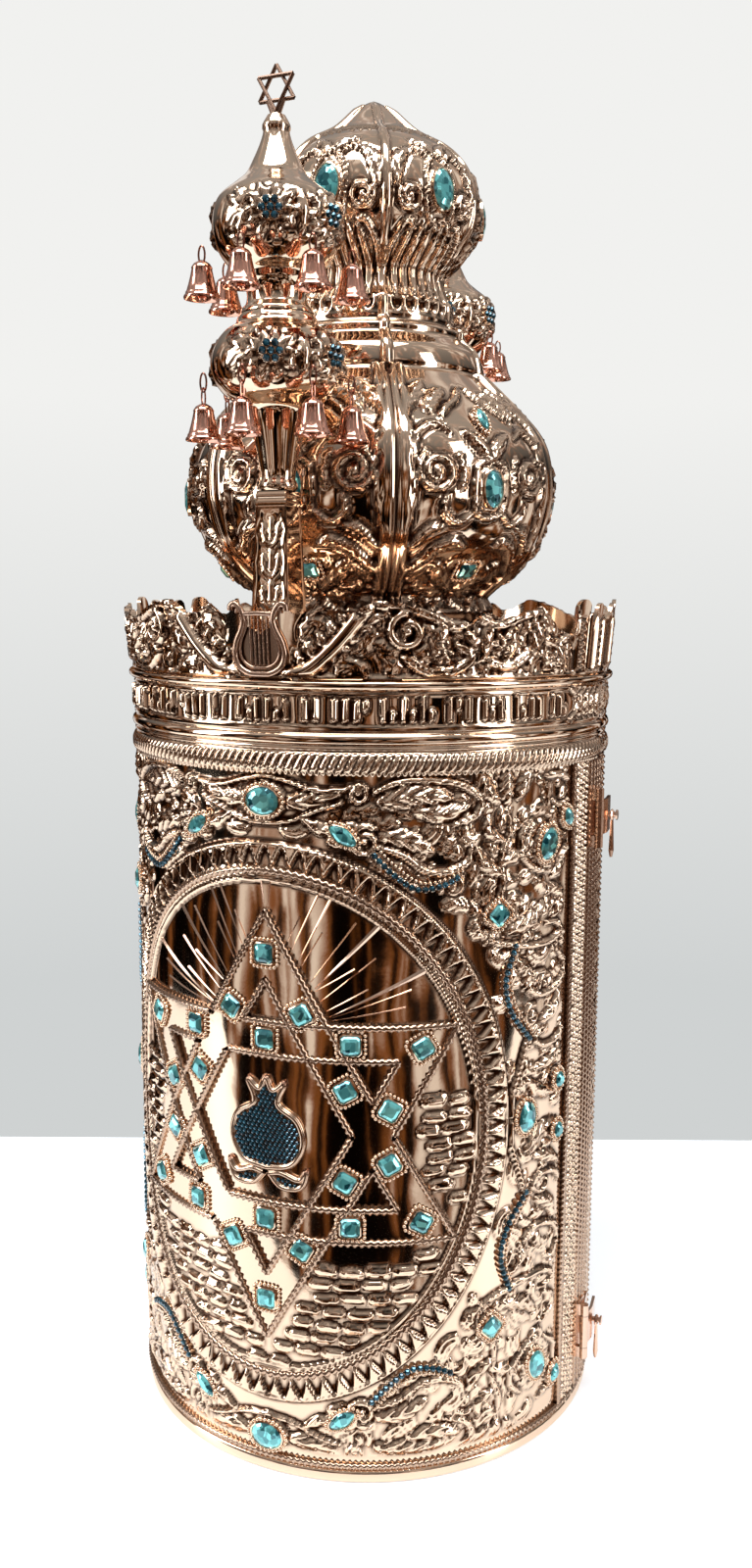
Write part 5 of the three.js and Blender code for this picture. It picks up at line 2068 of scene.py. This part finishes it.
    def lining(self, points: np.ndarray, azimuth: np.ndarray) -> None:
        """Make the crown's inside skin and its seam faces.

        Args:
            points: Points of the embossed wall.
            azimuth: Azimuth of each of its columns, in degrees.
        """
        inside = self.wall.points(azimuth, np.full(points.shape[:2], -2.0))
        inside[..., 2] = np.maximum(inside[..., 2], self.base_z * MM)
        build = Build()
        build.grid(inside[::5, ::-5])
        for column, sign in ((0, -1), (-1, 1)):
            build.grid(np.stack([points[:, column], inside[:, column]][::sign], 1))
        name = self.side.value
        lining = build.made(f"crown_lining_{name}", self.shop.spun)
        report(lining, self.side.body, f"crown_{name}")


# Finials


# Profiles: radius and height over the piece's foot
LOWER_BULB = ((9, 0), (10.2, 1.5), (10.2, 3.5), (9, 5.5), (9, 9), (9.6, 12), (12.4, 26), (16, 39),
              (20, 43), (27, 47.5), (32.5, 54.5), (34.4, 63), (32.5, 71), (27, 78.5), (21.5, 82),
              (20.8, 84.5), (19.4, 86.8))
UPPER_BULB = ((19, 0.2), (18.4, 2.4), (16.2, 4.6), (15.4, 9), (16.4, 13.5), (19, 17), (19.4, 19),
              (24, 23), (30, 31), (32.8, 42.5), (30, 54.5), (21, 62.5), (15.5, 67.5), (11.5, 75),
              (8.2, 82.5), (6.6, 88), (7.2, 89.6), (6.9, 91.6), (4.6, 95.6))
STEM = ((1.3, -3.6), (2.2, -2.4), (1.6, -1.0), (0.9, 0.6), (0.05, 0.9))
BELL_INSIDE = ((0.05, 17.4), (4.2, 15.8), (4.9, 13.0), (5.9, 7.5), (7.4, 3.0), (8.7, 0.4), (9.3, 0))
BELL_OUTSIDE = ((9.3, 0), (9.5, 0.6), (9.2, 1.4), (8.5, 2.2), (8.5, 2.9), (7.9, 3.7), (6.9, 7.0),
                (6.0, 10.5), (5.2, 14.2), (5.4, 14.9), (5.0, 15.6), (4.0, 17.0), (2.0, 18.2),
                (0.9, 18.7), (0.05, 18.8))
CLAPPER = ((0.05, -1.4), (1.9, -0.6), (2.3, 1.0), (1.7, 2.6), (0.5, 3.4), (0.4, 16.5))


@dataclass
class Finial:
    """One lift-off finial: shaft, two bulbs, star and ten bells."""

    side: Side
    shop: Shop
    reach: float = 123.0
    base_z: float = 441.3
    step: float = 1.7
    lower_z: float = 541.6
    lower_middle: float = 64.0
    upper_z: float = 628.9
    upper_middle: float = 43.0
    cartouche: float = 50.0
    cartouche_half: float = 28.0
    bell_circle: float = 38.0
    bell_tall: float = 19.0

    def around(self, points: np.ndarray) -> np.ndarray:
        """Turn points of the front finial to this side, in metres."""
        return turn_points(points, self.side.turn) * MM

    def bulb(self, name: str, knots: Sequence[Sequence[float]], base: float, middle: float) -> None:
        """Turn and chase a bulb.

        Args:
            name: Node that it replaces.
            knots: Radius and height of its profile.
            base: Height of its foot.
            middle: Height of its cartouche over the foot.
        """
        wall = Turned(smooth_path(knots, 10) + [0, base], self.step)
        share = np.linspace(0, 1, 33)
        relief = Relief(share[None, :] * wall.r[:, None] * math.pi / 2, wall.s)
        centre = float(np.interp(middle + base, wall.z, wall.s))
        across = math.radians(self.cartouche_half) * float(np.interp(middle + base, wall.z, wall.r))
        eye = np.array([across, centre])
        for degrees in range(0, 360, 36):
            way = direction(degrees)
            foot = eye + way * 6.2
            leaf = np.stack([foot, foot + way * [5, 4], foot + way * [9.5, 8.0]])
            relief.leaf(leaf, 5.6, 2.2, 3)
        for degrees in (70, 40, -40, -70):
            way = direction(degrees)
            foot = np.array([across + 12, centre]) + way * 3
            relief.leaf(np.stack([foot, foot + way * [7, 6], foot + way * [12, 10]]), 6.0, 2.0, 4)
        relief.leaf(np.array([[0, centre - 9], [0.5, centre], [0, centre + 10]]), 6.0, 2.0, 4)
        relief.boss(eye, 6.0, 6.0, 1.7, 0, 0.2)
        quarter = relief.mirrored()
        lift = np.concatenate([quarter, quarter[:, 1:-1]], axis=1)
        local = np.linspace(-90, 270, lift.shape[1] + 1)[:-1] + self.cartouche
        points = wall.points(local, lift) + np.array([0, -self.reach, 0]) * MM
        build = Build()
        build.grid(turn_points(points, self.side.turn), True)
        piece = build.made(f"spun_{name}_{self.side.value}", self.shop.plate)
        # Painted shade in the bulb's hollows.
        store_painted_shade(piece, painted_shade_shares(lift, 1, 0.7))
        report(piece, self.side.body, f"{name}_{self.side.value}")

    def pave(self) -> None:
        """Set seven small dark stones in the middle of each cartouche."""
        gems, metal = Build(), Build()
        half = self.cartouche_half
        levels = ((self.lower_z + self.lower_middle, 34.6),
                  (self.upper_z + self.upper_middle, 33.2))
        for (z, r), face in product(levels, (-half, half, 180 - half, 180 + half)):
            place = seat(face + self.cartouche, z, r + 0.7)
            middle = place.middle + [0, -self.reach, 0]
            parts = (middle, place.right, np.array([0, 0, 1.0]), place.out)
            place = Seat(*(turn_points(part, self.side.turn) for part in parts))
            for x, y in [*(4.2 * direction(60 * i) for i in range(6)), (0, 0)]:
                gems.ball(place, x, y, 1.2, 2.1)
                metal.turned_on(place, [[2.3, -1.0], [2.2, 1.2], [2.0, 1.4]], 8, x, y)
        name = self.side.value
        stones = gems.made(f"finial_pave_{name}", self.shop.pave, 25)
        report(stones, self.side.body, slot="teal_stone")
        report(metal.made(f"finial_pave_cups_{name}", self.shop.wire, 40), self.side.body)

    def shaft(self, foot: float = 12.2, head: float = 8.6, tall: float = 100.0) -> None:
        """Make the square shaft, engraved on its front and its back.

        Args:
            foot: Half its width at the foot.
            head: Half its width at the head.
            tall: Its height.
        """
        build = Build()
        rows = np.linspace(0, tall, 112)
        half = np.interp(rows, [0, tall], [foot, head]) - 0.7
        share = np.linspace(0, 1, 12)
        relief = Relief(share[None, :] * half[:, None], rows)
        field = (relief.u < half[:, None] - 3.2) & (relief.v > 6) & (relief.v < 90)
        relief.h = np.where(field, -0.3, 0.0)
        for v in np.arange(8, 80, 16.0):
            relief.leaf(np.array([[0.4, v], [3.2, v + 5.5], [4.4, v + 12]]), 4.4, 0.4, 4)
            relief.leaf(np.array([[0, v + 3], [0, v + 9], [0, v + 15]]), 3.2, 0.45, 3)
        relief.level(94.5, 20, 2.0, 1.1)
        relief.level(98, 20, 2.2, 1.4)
        lift = np.clip(relief.mirrored(), -0.6, 0.7)
        plain = np.maximum(lift * (rows[:, None] > 92), 0)
        x = both_ways(share)[None, :] * (half + 0.7)[:, None]
        for face in range(4):
            y = -(half[:, None] + (lift if face % 2 == 0 else plain))
            points = turn_points(np.stack([x, y, rows[:, None] + 0 * x], -1), 90 * face)
            build.grid(self.around(points + [0, -self.reach, self.base_z]))
        piece = build.made(f"engraved_shaft_{self.side.value}", self.shop.plate, 40)
        report(piece, self.side.body, f"finial_shaft_{self.side.value}")

    def star(self, size: float = 10.9, wire: float = 1.0, middle: float = 737.6) -> None:
        """Make the star of two interlaced wire triangles on its forked stem.

        Args:
            size: Distance of its tips from its middle.
            wire: Radius of its wire.
            middle: Height of its middle.
        """
        build = Build()
        fork = middle - size
        lines = []
        for start, depth in ((90, 0.5), (-90, -0.5)):
            tips = [direction(start + 120 * k) * size * 1.02 + [0, middle] for k in range(4)]
            lines += [(np.stack(pair), depth) for pair in zip(tips[:-1], tips[1:])]
        for hand in (-1, 1):
            arm = [[0.6 * hand, fork - 3.4], [2.2 * hand, fork - 0.5], [4.6 * hand, fork + 5.2]]
            lines.append((np.array(arm), -0.5))
        for line, depth in lines:
            points = np.insert(line, 1, depth - self.reach, axis=1)
            across = np.tile([0.0, 1.0, 0.0], (len(line), 1))
            build.tube(self.around(points), across, wire * MM, 6)
        axis = turn_points(np.array([0.0, -self.reach, 0.0]), self.side.turn)
        build.turned(np.array(STEM) + [0, fork - 0.6], axis, 12)
        piece = build.made(f"wire_star_{self.side.value}", self.shop.cast, 40)
        report(piece, self.side.body, f"finial_star_{self.side.value}")

    def bell(self, name: str, eye: tuple[float, float, float], chain: float) -> None:
        """Make a bell with its clapper and its links.

        Args:
            name: Node that it replaces.
            eye: Where its topmost link hangs, in mm.
            chain: Length of its links in mm.
        """
        build = Build()
        x, y, z = eye
        mouth = (x, y, z - chain - self.bell_tall)
        for profile, sides in ((BELL_INSIDE, 16), (BELL_OUTSIDE, 18), (CLAPPER, 8)):
            build.turned(profile, mouth, sides)
        links = max(1, int(round(chain / 6.5)))
        angle = np.linspace(0, 2 * np.pi, 17)[:, None]
        upright = np.array([0, 0, 1.0])
        for k in range(links):
            middle = np.array([x, y, z - 1.5 - (k + 0.5) * (chain - 0.5) / links])
            flat = np.append(direction(self.side.turn + 90 * k), 0)
            tall = chain / links * 0.62
            centres = middle + 1.8 * np.cos(angle) * flat + tall * np.sin(angle) * upright
            out = np.tile(np.cross(flat, upright), (len(angle), 1))
            build.tube(centres * MM, out, 0.5 * MM, 6)
        piece = build.made(f"{name}_spun", self.shop.copper, 50)
        report(piece, self.side.body, name, slot="bell_metal")

    def build(self) -> None:
        """Make the finial."""
        self.bulb("finial_lower_bulb", LOWER_BULB, self.lower_z, self.lower_middle)
        self.bulb("finial_upper_bulb", UPPER_BULB, self.upper_z, self.upper_middle)
        self.pave()
        self.shaft()
        self.star()
        sign = 1 if self.side is Side.FRONT else -1
        rows = (("lower", self.lower_z + 58, 15), ("upper", self.upper_z + 32, 7))
        for (row, z, chain), k in product(rows, range(5)):
            a = math.radians(54 * (k - 2))
            x, y = self.bell_circle * math.sin(a), -self.reach - self.bell_circle * math.cos(a)
            self.bell(f"bell_{self.side.value}_{row}_{k + 1}", (sign * x, sign * y, z), chain)


def direction(degrees: float) -> np.ndarray:
    """Unit step to an angle, across and up."""
    return np.array([math.cos(math.radians(degrees)), math.sin(math.radians(degrees))])


def turn_points(points: np.ndarray, degrees: float) -> np.ndarray:
    """Turn points round the case's axis.

    Args:
        points: The points.
        degrees: Degrees anticlockwise as seen from above.

    Returns:
        The turned points.
    """
    c, s = math.cos(math.radians(degrees)), math.sin(math.radians(degrees))
    x, y = points[..., 0], points[..., 1]
    return np.stack([c * x - s * y, s * x + c * y, points[..., 2]], -1)


def runs(path: Path, keep: np.ndarray) -> list[Path]:
    """Split a path where it isn't kept.

    Args:
        path: The path.
        keep: Whether each point is kept.

    Returns:
        The stretches that are left.
    """
    edges = np.flatnonzero(np.diff(np.concatenate([[0], keep.astype(int), [0]])))
    return [path[a:b] for a, b in zip(edges[::2], edges[1::2]) if b - a > 3]


def sheet_normals(points: np.ndarray) -> np.ndarray:
    """Find the outward directions of a grid from its own slopes.

    Args:
        points: Points, rows by columns.

    Returns:
        Unit directions, rows by columns.
    """
    normal = np.cross(np.gradient(points, axis=1), np.gradient(points, axis=0))
    return normal / np.maximum(np.linalg.norm(normal, axis=-1, keepdims=True), 1e-12)


def bend_light(piece: bpy.types.Object, normals: np.ndarray) -> None:
    """Give a piece's points their own normals."""
    piece.data.normals_split_custom_set_from_vertices(normals.reshape(-1, 3).tolist())


@dataclass
class Studio:
    """Camera, table, room and lights."""

    lens_mm: float = 30.1
    eye: tuple[float, float, float] = (0.318, -0.742, 0.4885)
    pan: float = 23.0
    tilt: float = 8.2
    roll: float = -0.3
    aim: tuple[float, float, float] = (0.0, 0.0, 0.4)
    table_side: float = 0.9
    table_near: float = -0.31
    table_far: float = 0.325

    def camera(self) -> None:
        """Stand the camera where the photograph was taken from."""
        data = bpy.data.cameras.new("camera")
        data.sensor_fit = "AUTO"
        data.sensor_width = 36.0
        data.lens = self.lens_mm
        data.clip_start = 0.01
        camera = bpy.data.objects.new("camera", data)
        camera.location = self.eye
        camera.rotation_mode = "XYZ"
        camera.rotation_euler = [math.radians(a) for a in (90 - self.tilt, self.roll, self.pan)]
        bpy.context.scene.collection.objects.link(camera)
        bpy.context.scene.camera = camera

    def table(self) -> None:
        """Lay the pale table top."""
        mesh = bpy.data.meshes.new("table_top")
        pan = math.radians(self.pan)
        right = Vector((math.cos(pan), math.sin(pan), 0))
        away = Vector((-math.sin(pan), math.cos(pan), 0))
        side, near, far = self.table_side, self.table_near, self.table_far
        places = ((-side, near), (side, near), (side, far), (-side, far))
        corners = [right * x + away * y for x, y in places]
        mesh.from_pydata(corners, [], [(0, 1, 2, 3)])
        material = bpy.data.materials.new("white_laminate_satin")
        material.use_nodes = True
        shader = material.node_tree.nodes["Principled BSDF"]
        for name, value in (("Base Color", linear("#EFF3F6")), ("Roughness", 0.42),
                            ("Emission Color", linear("#F6FAFF")), ("Emission Strength", 0.42)):
            shader.inputs[name].default_value = value
        mesh.materials.append(material)
        table = bpy.data.objects.new("table_top", mesh)
        bpy.context.scene.collection.objects.link(table)

    def room(self) -> None:
        """Paint the room that the metal mirrors: pale walls broken by dark upright shapes."""
        world = bpy.data.worlds.new("room")
        bpy.context.scene.world = world
        world.use_nodes = True
        tree = world.node_tree
        tree.nodes.clear()
        way = add(tree, "ShaderNodeTexCoord").outputs["Generated"]
        stretched = add(tree, "ShaderNodeMapping",
                        {"Scale": (5.6, 5.6, 2.2), "Rotation": (0.12, 0.1, 0.0)}, {"Vector": way})
        figures = add(tree, "ShaderNodeTexNoise",
                      {"Scale": 1.0, "Detail": 2.5, "Roughness": 0.6, "Distortion": 0.7},
                      {"Vector": stretched.outputs["Vector"]})
        ramp = add(tree, "ShaderNodeValToRGB", links={"Fac": figures.outputs["Fac"]})
        stops = ramp.color_ramp.elements
        stops[0].position, stops[0].color = 0.475, linear("#050302")
        stops[1].position, stops[1].color = 0.63, linear("#F0F2F2")
        stops.new(0.555).color = linear("#86562F")
        parts = add(tree, "ShaderNodeSeparateXYZ", links={"Vector": way})
        height = add(tree, "ShaderNodeMapRange", {"From Min": 0.12, "From Max": 0.8, "To Max": 0.5},
                     {"Value": parts.outputs["Z"]})
        upper = add(tree, "ShaderNodeMix", {"B": linear("#E4E6E7")},
                    {"Factor": height.outputs["Result"], "A": ramp.outputs["Color"]},
                    data_type="RGBA")
        lit = add(tree, "ShaderNodeBackground", {"Strength": 1.0},
                  {"Color": upper.outputs["Result"]})
        level = add(tree, "ShaderNodeMapRange", {"From Min": -0.28, "From Max": 0.14},
                    {"Value": parts.outputs["Z"]})
        paint = add(tree, "ShaderNodeMix", {"A": linear("#CFD2D2"), "B": linear("#F1F1EF")},
                    {"Factor": level.outputs["Result"]}, data_type="RGBA")
        wall = add(tree, "ShaderNodeBackground", {"Strength": 1.0},
                   {"Color": paint.outputs["Result"]})
        seen = add(tree, "ShaderNodeLightPath").outputs["Is Camera Ray"]
        both = add(tree, "ShaderNodeMixShader",
                   links={0: seen, 1: lit.outputs[0], 2: wall.outputs[0]})
        add(tree, "ShaderNodeOutputWorld", links={"Surface": both.outputs[0]})

    def light(self, name: str, place: Sequence[float], power: float, width: float,
              height: float) -> None:
        """Hang a soft light that faces the case.

        Args:
            name: Name of the light.
            place: Where it hangs, in metres.
            power: Watts.
            width: Width in metres.
            height: Height in metres.
        """
        data = bpy.data.lights.new(name, "AREA")
        data.shape = "RECTANGLE"
        data.size, data.size_y = width, height
        data.energy = power
        data.color = (0.95, 0.98, 1.0)
        lamp = bpy.data.objects.new(name, data)
        lamp.location = place
        way = Vector(self.aim) - Vector(place)
        lamp.rotation_euler = way.to_track_quat("-Z", "Y").to_euler()
        bpy.context.scene.collection.objects.link(lamp)

    def build(self) -> None:
        """Set up the whole studio."""
        bpy.context.scene.view_settings.view_transform = "Standard"
        self.camera()
        self.table()
        self.room()
        self.light("left_window", (-1.4, -1.0, 1.0), 19.0, 0.5, 1.6)
        self.light("right_window", (1.7, -0.2, 0.9), 11.0, 0.4, 1.5)
        self.light("ceiling", (0.1, -0.5, 1.9), 28.0, 1.4, 0.7)


def main() -> None:
    """Build the studio and every piece."""
    logging.basicConfig(level=logging.INFO, format="%(message)s")
    Studio().build()
    shop = Shop()
    shop.dress_nodes()
    for side in Side:
        case = Case(side, shop)
        case.build()
        if side is Side.FRONT:
            Jewels(case).build()
        HeadBand(side, shop).build()
        Crest(side, shop).build()
        Crown(side, shop).build()
        Finial(side, shop).build()


if __name__ == "__main__":
    main()
